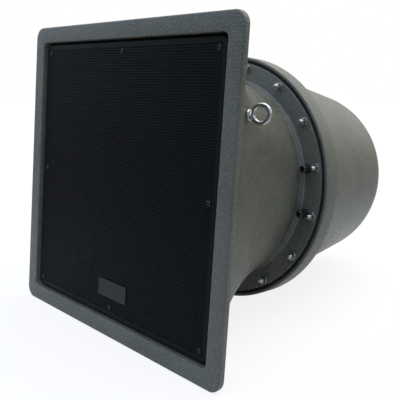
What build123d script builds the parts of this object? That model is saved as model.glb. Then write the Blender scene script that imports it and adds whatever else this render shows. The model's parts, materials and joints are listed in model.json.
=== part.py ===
from build123d import *
import math
import os

os.makedirs("parts", exist_ok=True)

# A horn loaded outdoor speaker, in millimetres. Depths are counted from the
# mouth face along the horn axis, which runs level along +Y. The mouth faces -Y.
# Radii and heights are counted from the horn axis.

# Mouth of the horn
mouth_width = 450.0
lip_face_width = 24.4
lip_thickness = 10.5
lip_corner_radius = 17.0
lip_edge_radius = 2.5
opening_corner_radius = 8.0
ledge_depth = 18.0
ledge_width = 6.6
shell_wall = 6.0

# Flare, from the square mouth to the round flange
flare_length = 213.8
flare_power = 3.2
flare_corner_radius = 20.0
flare_narrowing = 40.7
throat_length = 110.0
nearly_round = 0.999

# Round flange behind the flare
flange_thickness = 6.0
flange_fillet = 7.0
flange_step = 0.8
flange_margin = 8.0

# Grille pan, its foam and its screws
grille_gap = 2.5
grille_depth = 5.5
grille_sheet = 1.2
grille_corner_radius = 10.0
grille_fold_radius = 3.0
mesh_pitch = 36.0
mesh_web = 7.0
mesh_margin = 16.0
foam_thickness = 6.0
foam_gap = 0.4
grille_screw_inset = 16.5
grille_post_radius = 6.5
grille_screw_radius = 2.0
grille_screw_head_radius = 3.8
grille_screw_head_height = 2.2
grille_screw_grip = 10.0

# Badge plate
badge_width = 64.5
badge_height = 25.0
badge_thickness = 1.2
badge_side = 4.0
badge_margin = 43.6
badge_corner_radius = 3.0

# Studs, washers and nuts round the flange
stud_count = 16
stud_radius = 3.0
stud_bite = 8.2
stud_tail = 5.4
washer_radius = 6.0
washer_thickness = 1.6
nut_flats = 10.0
nut_height = 5.0

# Cable glands on the flange
gland_flats = 12.0
gland_angle = 11.25
gland_hex_height = 6.0
gland_cap_height = 11.3
gland_cap_radius = 5.7
gland_thread_radius = 4.9
gland_thread_length = 17.0
gland_bore_radius = 3.4
seal_bore_radius = 2.0

# Rear housing
rim_set_back = 1.7
rim_wall = 4.8
rim_channel = 4.6
rim_edge_radius = 2.0
seat_thickness = 10.4
seat_margin = 4.3
shoulder_drop = 17.8
shoulder_fillet = 4.0
housing_length = 292.8
housing_draft = 8.3
housing_knuckle = 100.0
housing_wall = 3.2
wadding_length = 100.0
wadding_thickness = 18.0

# Gasket and baffle between the flange and the housing
gasket_thickness = 3.0
baffle_thickness = 12.0
edge_clearance = 0.6

# Clearances
thread_clearance = 0.05
hole_clearance = 0.3
slip_clearance = 0.1
soft_clearance = 0.3
hole_spare = 1.0

# Eyebolts on the flanks
eyebolt_depth = 76.4
eyebolt_drop = 93.5
eyebolt_tip = 8.5
eyebolt_pad_radius = 8.5
eyebolt_pad_rise = 0.8
eyebolt_ring_radius = 14.5
eyebolt_wire_radius = 2.95
eyebolt_collar_radius = 7.9
eyebolt_collar_thickness = 3.4
eyebolt_reach = 14.7
eyebolt_shank_radius = 3.0
eyebolt_boss_radius = 11.0
eyebolt_boss_rise = 9.0
eyebolt_washer_radius = 9.0

# Woofer
baffle_lip = 15.0
cone_depth = 48.0
cone_wall = 1.5
cone_glue_width = 5.0
surround_roll = 6.0
surround_wall = 1.0
surround_land = 7.5
woofer_gasket_width = 8.5
woofer_gasket_thickness = 1.5
frame_rim_thickness = 4.0
frame_wall = 4.0
frame_depth = 76.0
frame_window_count = 6
frame_window_width = 62.0
woofer_screw_count = 8
woofer_screw_radius = 2.5
woofer_screw_head_radius = 4.5
woofer_screw_head_height = 3.0
woofer_screw_grip = 6.0
coil_radius = 25.4
coil_wall = 0.8
coil_gap = 0.6
coil_overhang = 4.0
top_plate_radius = 55.0
top_plate_thickness = 7.0
magnet_radius = 60.0
magnet_thickness = 16.0
magnet_bore_radius = 33.0
back_plate_thickness = 7.0
pole_vent_radius = 8.0
cap_radius = 42.0
cap_rise = 12.0
cap_wall = 1.2
spider_share = 4 / 7
spider_wall = 1.0
spider_stand_off = 14.0
spider_land = 6.0
spider_inner_land = 4.0
spider_waves = 4
spider_rise = 2.0

# High frequency driver and its horn
bridge_width = 44.0
bridge_thickness = 4.0
bridge_end_gap = 2.5
bridge_screw_inset = 5.5
bridge_screw_grip = 7.0
driver_cover_radius = 32.0
driver_cover_length = 20.0
driver_magnet_radius = 45.0
driver_magnet_length = 16.8
driver_plate_radius = 42.0
driver_plate_length = 8.0
driver_throat_radius = 12.5
driver_screw_circle = 20.0
driver_screw_grip = 6.0
hf_horn_length = 130.0
hf_horn_power = 1.7
hf_mouth_width = 180.0
hf_mouth_corner_radius = 14.0
hf_mouth_rim = 8.0
hf_horn_wall = 3.0
hf_flange_thickness = 4.0
hf_screw_circle = 32.0
hf_screw_count = 4

# Crossover on its bosses inside the housing
board_width = 140.0
board_length = 100.0
board_thickness = 2.0
board_stand = 56.5
board_hole_inset = 8.0
board_boss_radius = 5.0
board_screw_radius = 1.6
board_screw_head_radius = 3.0
board_screw_head_height = 2.0
board_screw_grip = 7.0
choke_radius = 21.0
choke_height = 22.0
choke_bore_radius = 9.0
choke_side = 36.0
capacitor_radius = 9.0
capacitor_length = 38.0
capacitor_side = 21.0
capacitor_row = 33.0

# Sizes that follow
opening_width = mouth_width - 2 * lip_face_width
collar_width = opening_width + 2 * shell_wall
collar_back = ledge_depth + shell_wall
flange_depth = ledge_depth + flare_length
throat_front = flange_depth - throat_length
flange_back = flange_depth + flange_thickness
mouth_side = opening_width / 2 - ledge_width + shell_wall
throat_radius = mouth_side - flare_narrowing
inner_throat = throat_radius - shell_wall
flange_bore = throat_radius + flange_fillet
gland_circle = flange_bore + gland_flats / 2
stud_circle = gland_circle + gland_flats / 2 + 2 * hole_clearance + washer_radius
flange_radius = stud_circle + flange_margin
rebate_radius = flange_radius + rim_channel
rim_radius = rebate_radius + rim_wall
gasket_back = flange_back + gasket_thickness
baffle_back = gasket_back + baffle_thickness
rim_front = flange_depth + rim_set_back
rim_back = baffle_back + seat_thickness
seat_radius = stud_circle - stud_radius - seat_margin
shoulder_radius = rim_radius - shoulder_drop
overall_depth = rim_back + housing_length
mouth_y = -overall_depth / 2
axis_z = mouth_width / 2
stud_angle = 180.0 / stud_count
horn_axis = Axis((0, mouth_y, axis_z), (0, 1, 0))


# A plane parallel to the mouth, at a depth behind it. It faces the listener.
def station(depth):
    return Plane(origin=(0, mouth_y + depth, axis_z), x_dir=(1, 0, 0), z_dir=(0, -1, 0))


# The plane of a turned profile: depth along the axis, then radius from it.
turning_plane = Plane(origin=(0, mouth_y, axis_z), x_dir=(0, 1, 0), z_dir=(1, 0, 0))


# How far the flare is open at a depth, from 1 at the ledge to 0 at the flange.
def flare_share(depth):
    return max(0.0, (flange_depth - depth) / flare_length)


# Half width of the outside of the flare.
def flare_half(depth):
    return throat_radius + (mouth_side - throat_radius) * flare_share(depth) ** flare_power


# Corner radius of the outside of the flare, which grows until the section is round.
def flare_corner(depth):
    round_corner = throat_radius * nearly_round
    return round_corner + (flare_corner_radius - round_corner) * flare_share(depth)


flare_steps = [0.0, 0.09, 0.2, 0.33, 0.48, 0.66, 0.84, 1.0]
flare_depths = [ledge_depth + flare_length * step for step in flare_steps]

# Grille screw places: the four corners, then the middle of each side
screw_row = opening_width / 2 - grille_screw_inset
screw_places = [(x * screw_row, z * screw_row) for x in (-1, 0, 1) for z in (-1, 0, 1) if x or z]
post_front = grille_depth + grille_sheet
post_end = ledge_depth + flare_length * 0.2

# Eyebolt seats
eyebolt_height = opening_width / 2 - eyebolt_drop
boss_lift = -(shell_wall + eyebolt_boss_rise)
seat_front = flare_half(eyebolt_depth - eyebolt_pad_radius)
seat_rear = flare_half(eyebolt_depth + eyebolt_pad_radius)
eyebolt_lean = math.atan2(seat_front - seat_rear, 2 * eyebolt_pad_radius)


# The plane of an eyebolt's seat on one side, at a lift along the shank. It
# leans back with the flare and tips up a little.
def eye_seat(side, lift):
    tip = math.radians(eyebolt_tip)
    level = math.cos(tip)
    place = (side * flare_half(eyebolt_depth), mouth_y + eyebolt_depth, axis_z + eyebolt_height)
    outward = (side * math.cos(eyebolt_lean) * level, math.sin(eyebolt_lean) * level, math.sin(tip))
    return Plane(origin=place, x_dir=(outward[1], -outward[0], 0), z_dir=outward).offset(lift)


# The air inside the horn: recess, flare and throat, less its posts and bosses
with BuildPart() as horn_air:
    with BuildSketch(station(0)):
        RectangleRounded(opening_width, opening_width, opening_corner_radius)
    extrude(amount=-ledge_depth)
    for depth in flare_depths + [flange_back]:
        inner_width = 2 * (flare_half(depth) - shell_wall)
        inner_corner = flare_corner(depth) - shell_wall
        with BuildSketch(station(depth)):
            RectangleRounded(inner_width, inner_width, inner_corner)
    loft()
    with BuildSketch(station(post_front)):
        with Locations(*screw_places):
            Circle(grille_post_radius)
    extrude(amount=-(post_end - post_front), mode=Mode.SUBTRACT)
    for side in (1, -1):
        with BuildSketch(eye_seat(side, boss_lift)):
            Circle(eyebolt_boss_radius)
        extrude(amount=opening_width, mode=Mode.SUBTRACT)

# Whole horn: lip, collar, flare and round flange
with BuildPart() as horn_whole:
    with BuildSketch(station(0)):
        RectangleRounded(mouth_width, mouth_width, lip_corner_radius)
    extrude(amount=-lip_thickness)
    fillet(horn_whole.faces().sort_by(Axis.Y)[0].edges(), lip_edge_radius)
    with BuildSketch(station(lip_thickness)):
        RectangleRounded(collar_width, collar_width, opening_corner_radius + shell_wall)
    extrude(amount=-(collar_back - lip_thickness))
    for depth in flare_depths:
        outer_width = 2 * flare_half(depth)
        with BuildSketch(station(depth)):
            RectangleRounded(outer_width, outer_width, flare_corner(depth))
    loft()
    with BuildSketch(station(flange_depth)):
        Circle(flange_radius)
    extrude(amount=-flange_thickness)
    with BuildSketch(turning_plane):
        with BuildLine():
            foot = flange_depth - flange_step
            start = (foot - flange_fillet, throat_radius)
            bend = flange_fillet * (1 - math.sqrt(0.5))
            middle = (foot - bend, throat_radius + bend)
            finish = (foot, throat_radius + flange_fillet)
            ThreePointArc(start, middle, finish)
            Polyline(
                finish,
                (flange_back, throat_radius + flange_fillet),
                (flange_back, inner_throat),
                (foot - flange_fillet, inner_throat),
                start,
            )
        make_face()
    revolve(axis=horn_axis)
    for side in (1, -1):
        with BuildSketch(eye_seat(side, boss_lift)):
            Circle(eyebolt_pad_radius)
        extrude(amount=eyebolt_pad_rise - boss_lift)
        with BuildSketch(eye_seat(side, eyebolt_pad_rise)):
            Circle(eyebolt_pad_radius)
        extrude(amount=eyebolt_reach, mode=Mode.SUBTRACT)
    add(horn_air.part, mode=Mode.SUBTRACT)
    with BuildSketch(station(flange_depth)):
        with PolarLocations(stud_circle, stud_count, start_angle=stud_angle):
            Circle(stud_radius + hole_clearance)
        with PolarLocations(gland_circle, 2, start_angle=-gland_angle, angular_range=4 * gland_angle):
            Circle(gland_thread_radius + slip_clearance)
    extrude(amount=-flange_thickness, mode=Mode.SUBTRACT)
    for side in (1, -1):
        with BuildSketch(eye_seat(side, eyebolt_pad_rise)):
            Circle(eyebolt_shank_radius + slip_clearance)
        extrude(amount=boss_lift - eyebolt_pad_rise, mode=Mode.SUBTRACT)

# Mouth frame: the lip, the ledge for the grille and the collar
with BuildPart() as mouth_frame:
    add(horn_whole.part)
    split(bisect_by=station(collar_back), keep=Keep.TOP)
    with BuildSketch(station(0)):
        with Locations(*screw_places):
            Circle(grille_post_radius + soft_clearance)
    extrude(amount=-collar_back, mode=Mode.SUBTRACT)
mouth_frame.part.label = "mouth_frame"

# Horn shell: the flare and the posts that it sends forward for the grille screws
with BuildPart() as horn_shell:
    add(horn_whole.part)
    split(bisect_by=station(collar_back), keep=Keep.BOTTOM)
    split(bisect_by=station(throat_front), keep=Keep.TOP)
    with BuildSketch(station(post_front)):
        with Locations(*screw_places):
            Circle(grille_post_radius)
    extrude(amount=-(collar_back - post_front))
    with BuildSketch(station(post_front)):
        with Locations(*screw_places):
            Circle(grille_screw_radius + thread_clearance)
    extrude(amount=-(grille_screw_grip + hole_spare), mode=Mode.SUBTRACT)
horn_shell.part.label = "horn_shell"

# Horn throat: the nearly round end of the flare, which the cables run beside
with BuildPart() as horn_throat:
    add(horn_whole.part)
    split(bisect_by=station(throat_front), keep=Keep.BOTTOM)
    split(bisect_by=station(flange_depth), keep=Keep.TOP)
horn_throat.part.label = "horn_throat"

# Round flange, drilled for the studs and the cable glands
with BuildPart() as horn_flange:
    add(horn_whole.part)
    split(bisect_by=station(flange_depth), keep=Keep.BOTTOM)
horn_flange.part.label = "horn_flange"

# Grille, a folded steel pan with staggered openings
grille_width = opening_width - 2 * grille_gap
field_width = grille_width - 2 * mesh_margin
row_pitch = mesh_pitch * math.sqrt(0.75)
even_columns = round(field_width / mesh_pitch)
row_pairs = round(field_width / (2 * row_pitch))
mesh_opening = (mesh_pitch - mesh_web) / 2
with BuildPart() as grille_panel:
    with BuildSketch(station(grille_depth)):
        RectangleRounded(grille_width, grille_width, grille_corner_radius)
    extrude(amount=-(ledge_depth - grille_depth))
    fillet(grille_panel.faces().sort_by(Axis.Y)[0].edges(), grille_fold_radius)
    inside_width = grille_width - 2 * grille_sheet
    with BuildSketch(station(grille_depth + grille_sheet)):
        RectangleRounded(inside_width, inside_width, grille_corner_radius - grille_sheet)
    extrude(amount=-(ledge_depth - grille_depth - grille_sheet), mode=Mode.SUBTRACT)
    with BuildSketch(station(grille_depth)):
        with GridLocations(mesh_pitch, 2 * row_pitch, even_columns, row_pairs):
            RegularPolygon(mesh_opening, 6, major_radius=False, rotation=30)
        with GridLocations(mesh_pitch, 2 * row_pitch, even_columns - 1, row_pairs - 1):
            RegularPolygon(mesh_opening, 6, major_radius=False, rotation=30)
        with Locations(*screw_places):
            Circle(grille_screw_radius + slip_clearance)
    extrude(amount=-grille_sheet, mode=Mode.SUBTRACT)
grille_panel.part.label = "grille_panel"

# Foam sheet behind the grille, cut out round the posts
foam_width = grille_width - 2 * grille_sheet - 2 * foam_gap
with BuildPart() as grille_foam:
    with BuildSketch(station(post_front)):
        RectangleRounded(foam_width, foam_width, grille_corner_radius - grille_sheet)
        with Locations(*screw_places):
            Circle(grille_post_radius + foam_gap, mode=Mode.SUBTRACT)
    extrude(amount=-foam_thickness)
grille_foam.part.label = "grille_foam"

# Grille screws, round heads on the face of the grille
with BuildPart() as grille_screws:
    with BuildSketch(station(grille_depth)):
        with Locations(*screw_places):
            Circle(grille_screw_head_radius)
    extrude(amount=grille_screw_head_height, taper=20)
    with BuildSketch(station(grille_depth)):
        with Locations(*screw_places):
            Circle(grille_screw_radius)
    extrude(amount=-(grille_sheet + grille_screw_grip))
grille_screws.part.label = "grille_screws"

# Badge plate, bare, on the lower part of the grille
with BuildPart() as badge_plate:
    with BuildSketch(station(grille_depth)):
        with Locations((badge_side, badge_margin - opening_width / 2)):
            RectangleRounded(badge_width, badge_height, badge_corner_radius)
    extrude(amount=badge_thickness)
    fillet(badge_plate.faces().sort_by(Axis.Y)[0].edges(), badge_thickness / 3)
badge_plate.part.label = "badge_plate"

# Weather gasket between the flange and the baffle
stack_radius = rebate_radius - edge_clearance
with BuildPart() as flange_gasket:
    with BuildSketch(station(flange_back)):
        Circle(stack_radius)
        Circle(inner_throat, mode=Mode.SUBTRACT)
        with PolarLocations(stud_circle, stud_count, start_angle=stud_angle):
            Circle(stud_radius + hole_clearance, mode=Mode.SUBTRACT)
        with PolarLocations(gland_circle, 2, start_angle=-gland_angle, angular_range=4 * gland_angle):
            Circle(gland_thread_radius + hole_clearance, mode=Mode.SUBTRACT)
    extrude(amount=-gasket_thickness)
flange_gasket.part.label = "flange_gasket"

# Woofer places, from the back of the baffle
baffle_opening = inner_throat - baffle_lip
surround_radius = baffle_opening - hole_clearance
cone_radius = surround_radius - 2 * surround_roll
spider_radius = cone_radius * spider_share
frame_inner_radius = surround_radius + soft_clearance
frame_radius = surround_radius + surround_land + woofer_gasket_width
woofer_screw_angle = 180.0 / woofer_screw_count
woofer_screw_circle = frame_radius - woofer_gasket_width / 2 - 2 * hole_clearance
frame_front = baffle_back + woofer_gasket_thickness
frame_rim_back = frame_front + frame_rim_thickness
top_plate_front = frame_front + frame_depth
magnet_front = top_plate_front + top_plate_thickness
back_plate_front = magnet_front + magnet_thickness
cone_front = frame_front
cone_back = cone_front + cone_depth
spider_depth = top_plate_front - spider_stand_off

# Plywood baffle that carries the woofer and the bridge
bridge_half = inner_throat - bridge_end_gap
bridge_screw_side = bridge_half - bridge_screw_inset
with BuildPart() as baffle:
    with BuildSketch(station(gasket_back)):
        Circle(stack_radius)
        Circle(baffle_opening, mode=Mode.SUBTRACT)
        with PolarLocations(stud_circle, stud_count, start_angle=stud_angle):
            Circle(stud_radius + hole_clearance, mode=Mode.SUBTRACT)
        with PolarLocations(gland_circle, 2, start_angle=-gland_angle, angular_range=4 * gland_angle):
            Circle(gland_thread_radius + slip_clearance, mode=Mode.SUBTRACT)
    extrude(amount=-baffle_thickness)
    with BuildSketch(station(gasket_back)):
        with Locations((bridge_screw_side, 0), (-bridge_screw_side, 0)):
            Circle(woofer_screw_radius + thread_clearance)
    extrude(amount=-(bridge_screw_grip + hole_spare), mode=Mode.SUBTRACT)
    with BuildSketch(station(baffle_back)):
        with PolarLocations(woofer_screw_circle, woofer_screw_count, start_angle=woofer_screw_angle):
            Circle(woofer_screw_radius + thread_clearance)
    extrude(amount=woofer_screw_grip + hole_spare, mode=Mode.SUBTRACT)
baffle.part.label = "baffle"


# Closed outline of the rear housing, at an inset from its outer face: a cone,
# a round knuckle and a flat end.
def housing_outline(inset, front):
    lean = math.radians(housing_draft)
    back = overall_depth - inset
    knuckle = housing_knuckle - inset
    middle = back - knuckle
    cone_line = shoulder_radius - inset / math.cos(lean)
    front_radius = cone_line - (front - rim_back) * math.tan(lean)
    flat_radius = cone_line - (middle - rim_back) * math.tan(lean) - knuckle / math.cos(lean)
    touch = (middle + knuckle * math.sin(lean), flat_radius + knuckle * math.cos(lean))
    half_turn = (math.pi / 2 - lean) / 2
    bend = (middle + knuckle * math.cos(half_turn), flat_radius + knuckle * math.sin(half_turn))
    Polyline((front, 0), (front, front_radius), touch)
    ThreePointArc(touch, bend, (back, flat_radius))
    Polyline((back, flat_radius), (back, 0), (front, 0))


# The air inside the rear housing, less the bosses under the crossover board
board_drop = shoulder_radius - board_stand
board_middle = top_plate_front + board_length / 2
board_plane = Plane(origin=(0, mouth_y + board_middle, axis_z - board_drop))
board_hole_side = board_width / 2 - board_hole_inset
board_hole_reach = board_length / 2 - board_hole_inset
board_holes = [(x * board_hole_side, y * board_hole_reach) for x in (-1, 1) for y in (-1, 1)]
with BuildPart() as housing_air:
    with BuildSketch(turning_plane):
        with BuildLine():
            housing_outline(housing_wall, rim_back)
        make_face()
    revolve(axis=horn_axis)
    with BuildSketch(board_plane):
        with Locations(*board_holes):
            Circle(board_boss_radius)
    extrude(amount=-shoulder_radius, mode=Mode.SUBTRACT)

# Rear housing, one moulding: rim, rebate, seat for the studs and a domed cover
with BuildPart() as rear_housing:
    with BuildSketch(turning_plane):
        with BuildLine():
            housing_outline(0, rim_back)
        make_face()
    revolve(axis=horn_axis)
    with BuildSketch(station(rim_front)):
        Circle(rim_radius)
    extrude(amount=-(rim_back - rim_front))
    rounds = rear_housing.edges().filter_by(GeomType.CIRCLE)
    fillet(rounds.filter_by(lambda edge: abs(edge.radius - rim_radius) < slip_clearance), rim_edge_radius)
    rounds = rear_housing.edges().filter_by(GeomType.CIRCLE)
    fillet(rounds.filter_by(lambda edge: abs(edge.radius - shoulder_radius) < slip_clearance), shoulder_fillet)
    add(housing_air.part, mode=Mode.SUBTRACT)
    with BuildSketch(station(baffle_back)):
        Circle(seat_radius)
    extrude(amount=-seat_thickness, mode=Mode.SUBTRACT)
    with BuildSketch(station(rim_front)):
        Circle(rebate_radius)
    extrude(amount=-(baffle_back - rim_front), mode=Mode.SUBTRACT)
    with BuildSketch(station(baffle_back)):
        with PolarLocations(stud_circle, stud_count, start_angle=stud_angle):
            Circle(stud_radius + thread_clearance)
    extrude(amount=-stud_bite, mode=Mode.SUBTRACT)
    with BuildSketch(board_plane):
        with Locations(*board_holes):
            Circle(board_screw_radius + thread_clearance)
    extrude(amount=-(board_screw_grip + hole_spare), mode=Mode.SUBTRACT)
rear_housing.part.label = "rear_housing"

# Wadding that lines the end of the housing
wadding_front = overall_depth - wadding_length
wadding_outside = housing_wall + soft_clearance
with BuildPart() as housing_wadding:
    with BuildSketch(turning_plane):
        with BuildLine():
            housing_outline(wadding_outside, wadding_front)
        make_face()
    revolve(axis=horn_axis)
    with BuildSketch(turning_plane):
        with BuildLine():
            housing_outline(wadding_outside + wadding_thickness, wadding_front)
        make_face()
    revolve(axis=horn_axis, mode=Mode.SUBTRACT)
housing_wadding.part.label = "housing_wadding"

# Studs moulded into the seat, which come forward through the flange
nut_front = flange_depth - washer_thickness - nut_height
with BuildPart() as housing_studs:
    with BuildSketch(station(nut_front - stud_tail)):
        with PolarLocations(stud_circle, stud_count, start_angle=stud_angle):
            Circle(stud_radius)
    extrude(amount=-(baffle_back + stud_bite - nut_front + stud_tail))
housing_studs.part.label = "housing_studs"

with BuildPart() as stud_washers:
    with BuildSketch(station(flange_depth)):
        with PolarLocations(stud_circle, stud_count, start_angle=stud_angle):
            Circle(washer_radius)
            Circle(stud_radius + slip_clearance, mode=Mode.SUBTRACT)
    extrude(amount=washer_thickness)
stud_washers.part.label = "stud_washers"

with BuildPart() as stud_nuts:
    with BuildSketch(station(flange_depth - washer_thickness)):
        with PolarLocations(stud_circle, stud_count, start_angle=stud_angle):
            RegularPolygon(nut_flats / 2, 6, major_radius=False)
            Circle(stud_radius + thread_clearance, mode=Mode.SUBTRACT)
    extrude(amount=nut_height)
stud_nuts.part.label = "stud_nuts"

# Cable glands: hexagon body and thread, domed cap and rubber seal
gland_places = PolarLocations(gland_circle, 2, start_angle=-gland_angle, angular_range=4 * gland_angle)
with BuildPart() as gland_bodies:
    with BuildSketch(station(flange_depth)):
        with gland_places:
            RegularPolygon(gland_flats / 2, 6, major_radius=False, rotation=30)
    extrude(amount=gland_hex_height)
    with BuildSketch(station(flange_depth)):
        with gland_places:
            Circle(gland_thread_radius)
    extrude(amount=-gland_thread_length)
    with BuildSketch(station(flange_depth - gland_hex_height)):
        with gland_places:
            Circle(gland_bore_radius)
    extrude(amount=-(gland_hex_height + gland_thread_length), mode=Mode.SUBTRACT)
gland_bodies.part.label = "gland_bodies"

with BuildPart() as gland_caps:
    with BuildSketch(station(flange_depth - gland_hex_height)):
        with gland_places:
            Circle(gland_cap_radius)
    extrude(amount=gland_cap_height)
    fillet(gland_caps.faces().group_by(Axis.Y)[0].edges(), gland_cap_radius / 3)
    with BuildSketch(station(flange_depth - gland_hex_height)):
        with gland_places:
            Circle(gland_bore_radius)
    extrude(amount=gland_cap_height, mode=Mode.SUBTRACT)
gland_caps.part.label = "gland_caps"

with BuildPart() as gland_seals:
    with BuildSketch(station(flange_depth)):
        with gland_places:
            Circle(gland_bore_radius - thread_clearance)
            Circle(seal_bore_radius, mode=Mode.SUBTRACT)
    extrude(amount=gland_hex_height + gland_cap_height - gland_cap_radius / 3)
gland_seals.part.label = "gland_seals"

# Eyebolts, each with a washer and a nut inside the horn
collar_lift = eyebolt_pad_rise + eyebolt_collar_thickness
eye_washer_lift = boss_lift - washer_thickness
eye_nut_lift = eye_washer_lift - nut_height
eyebolt_end = eye_nut_lift - stud_tail / 2
ring_inside = eyebolt_ring_radius - eyebolt_wire_radius


def eyebolt(side, name):
    with BuildPart() as bolt:
        with BuildSketch(eye_seat(side, eyebolt_end)):
            Circle(eyebolt_shank_radius)
        extrude(amount=eyebolt_pad_rise - eyebolt_end)
        with BuildSketch(eye_seat(side, eyebolt_pad_rise)):
            Circle(eyebolt_collar_radius)
        extrude(amount=eyebolt_collar_thickness)
        with BuildSketch(eye_seat(side, collar_lift)):
            Circle(eyebolt_wire_radius)
        extrude(amount=eyebolt_reach - ring_inside)
        middle = eye_seat(side, collar_lift + eyebolt_reach)
        with Locations(Plane(origin=middle.origin, x_dir=middle.z_dir, z_dir=middle.x_dir)):
            Torus(ring_inside, eyebolt_wire_radius)
    bolt.part.label = name
    return bolt


eyebolt_right = eyebolt(1, "eyebolt_right")
eyebolt_left = eyebolt(-1, "eyebolt_left")

with BuildPart() as eyebolt_washers:
    for side in (1, -1):
        with BuildSketch(eye_seat(side, eye_washer_lift)):
            Circle(eyebolt_washer_radius)
            Circle(eyebolt_shank_radius + slip_clearance, mode=Mode.SUBTRACT)
        extrude(amount=washer_thickness)
eyebolt_washers.part.label = "eyebolt_washers"

with BuildPart() as eyebolt_nuts:
    for side in (1, -1):
        with BuildSketch(eye_seat(side, eye_nut_lift)):
            RegularPolygon(nut_flats / 2, 6, major_radius=False)
            Circle(eyebolt_shank_radius + thread_clearance, mode=Mode.SUBTRACT)
        extrude(amount=nut_height)
eyebolt_nuts.part.label = "eyebolt_nuts"

# Woofer gasket, between the baffle and the rim of the frame
with BuildPart() as woofer_gasket:
    with BuildSketch(station(baffle_back)):
        Circle(frame_radius)
        Circle(surround_radius + surround_land + soft_clearance, mode=Mode.SUBTRACT)
        with PolarLocations(woofer_screw_circle, woofer_screw_count, start_angle=woofer_screw_angle):
            Circle(woofer_screw_radius + hole_clearance, mode=Mode.SUBTRACT)
    extrude(amount=-woofer_gasket_thickness)
woofer_gasket.part.label = "woofer_gasket"

# Woofer frame, cast with a rim, an open basket, a spider ledge and a base
base_front = top_plate_front - frame_wall
ledge_front = spider_depth + spider_wall
basket_front = frame_inner_radius + frame_wall
window_reach = basket_front - spider_radius - 5 * frame_wall
with BuildPart() as woofer_frame:
    with BuildSketch(turning_plane):
        with BuildLine():
            Polyline(
                (frame_front, frame_inner_radius),
                (frame_front, frame_radius),
                (frame_rim_back, frame_radius),
                (frame_rim_back, basket_front),
                (base_front + frame_wall / 2, top_plate_radius + 3 * frame_wall),
                (top_plate_front, top_plate_radius + 3 * frame_wall),
                (top_plate_front, magnet_bore_radius + frame_wall),
                (base_front, magnet_bore_radius + frame_wall),
                (base_front, top_plate_radius),
                (ledge_front + frame_wall, spider_radius),
                (ledge_front + frame_wall, spider_radius - spider_land),
                (ledge_front, spider_radius - spider_land),
                (ledge_front, spider_radius + frame_wall / 2),
                close=True,
            )
        make_face()
    revolve(axis=horn_axis)
    with BuildSketch(station(frame_rim_back)):
        with PolarLocations(spider_radius + 2 * frame_wall + window_reach / 2, frame_window_count):
            RectangleRounded(window_reach, frame_window_width, frame_wall)
    extrude(amount=-frame_depth, mode=Mode.SUBTRACT)
    with BuildSketch(station(frame_front)):
        with PolarLocations(woofer_screw_circle, woofer_screw_count, start_angle=woofer_screw_angle):
            Circle(woofer_screw_radius + slip_clearance)
    extrude(amount=-frame_rim_thickness, mode=Mode.SUBTRACT)
woofer_frame.part.label = "woofer_frame"

with BuildPart() as woofer_screws:
    with BuildSketch(station(baffle_back - woofer_screw_grip)):
        with PolarLocations(woofer_screw_circle, woofer_screw_count, start_angle=woofer_screw_angle):
            Circle(woofer_screw_radius)
    extrude(amount=-(frame_rim_back - baffle_back + woofer_screw_grip))
    with BuildSketch(station(frame_rim_back)):
        with PolarLocations(woofer_screw_circle, woofer_screw_count, start_angle=woofer_screw_angle):
            Circle(woofer_screw_head_radius)
    extrude(amount=-woofer_screw_head_height)
woofer_screws.part.label = "woofer_screws"

# Magnet system: top plate, ring magnet, back plate with its vented pole
pole_radius = coil_radius - coil_wall - coil_gap
with BuildPart() as woofer_top_plate:
    with BuildSketch(station(top_plate_front)):
        Circle(top_plate_radius)
        Circle(coil_radius + coil_gap, mode=Mode.SUBTRACT)
    extrude(amount=-top_plate_thickness)
woofer_top_plate.part.label = "woofer_top_plate"

with BuildPart() as woofer_magnet:
    with BuildSketch(station(magnet_front)):
        Circle(magnet_radius)
        Circle(magnet_bore_radius, mode=Mode.SUBTRACT)
    extrude(amount=-magnet_thickness)
woofer_magnet.part.label = "woofer_magnet"

with BuildPart() as woofer_pole_plate:
    with BuildSketch(station(back_plate_front)):
        Circle(top_plate_radius)
    extrude(amount=-back_plate_thickness)
    with BuildSketch(station(top_plate_front)):
        Circle(pole_radius)
    extrude(amount=-(back_plate_front - top_plate_front))
    with BuildSketch(station(top_plate_front)):
        Circle(pole_vent_radius)
    extrude(amount=-(back_plate_front - top_plate_front + back_plate_thickness), mode=Mode.SUBTRACT)
woofer_pole_plate.part.label = "woofer_pole_plate"

# Moving parts of the woofer: cone, dust cap and voice coil
with BuildPart() as woofer_cone:
    with BuildSketch(turning_plane):
        with BuildLine():
            land = cone_radius - cone_glue_width
            Polyline(
                (cone_front, cone_radius),
                (cone_front, land),
                (cone_back, coil_radius),
                (cone_back + cone_wall, coil_radius),
                (cone_back + cone_wall, coil_radius + cone_wall),
                (cone_front + cone_wall, land + cone_wall),
                (cone_front + cone_wall, cone_radius),
                close=True,
            )
        make_face()
    revolve(axis=horn_axis)
woofer_cone.part.label = "woofer_cone"

cap_back = cone_front + cone_depth * (land - cap_radius) / (land - coil_radius)
with BuildPart() as dust_cap:
    with BuildSketch(turning_plane):
        with BuildLine():
            crown = Spline((cap_back, cap_radius), (cap_back - cap_rise, 0), tangents=[(-1, -1), (0, -1)])
            Line(crown @ 1, crown @ 1 + Vector(cap_wall, 0))
            Spline(
                (cap_back - cap_rise + cap_wall, 0),
                (cap_back, cap_radius - cap_wall),
                tangents=[(0, 1), (1, 1)],
            )
            Line((cap_back, cap_radius - cap_wall), (cap_back, cap_radius))
        make_face()
    revolve(axis=horn_axis)
dust_cap.part.label = "dust_cap"

with BuildPart() as voice_coil:
    with BuildSketch(station(cone_back)):
        Circle(coil_radius)
        Circle(coil_radius - coil_wall, mode=Mode.SUBTRACT)
    extrude(amount=-(magnet_front + coil_overhang - cone_back))
voice_coil.part.label = "voice_coil"

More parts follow.
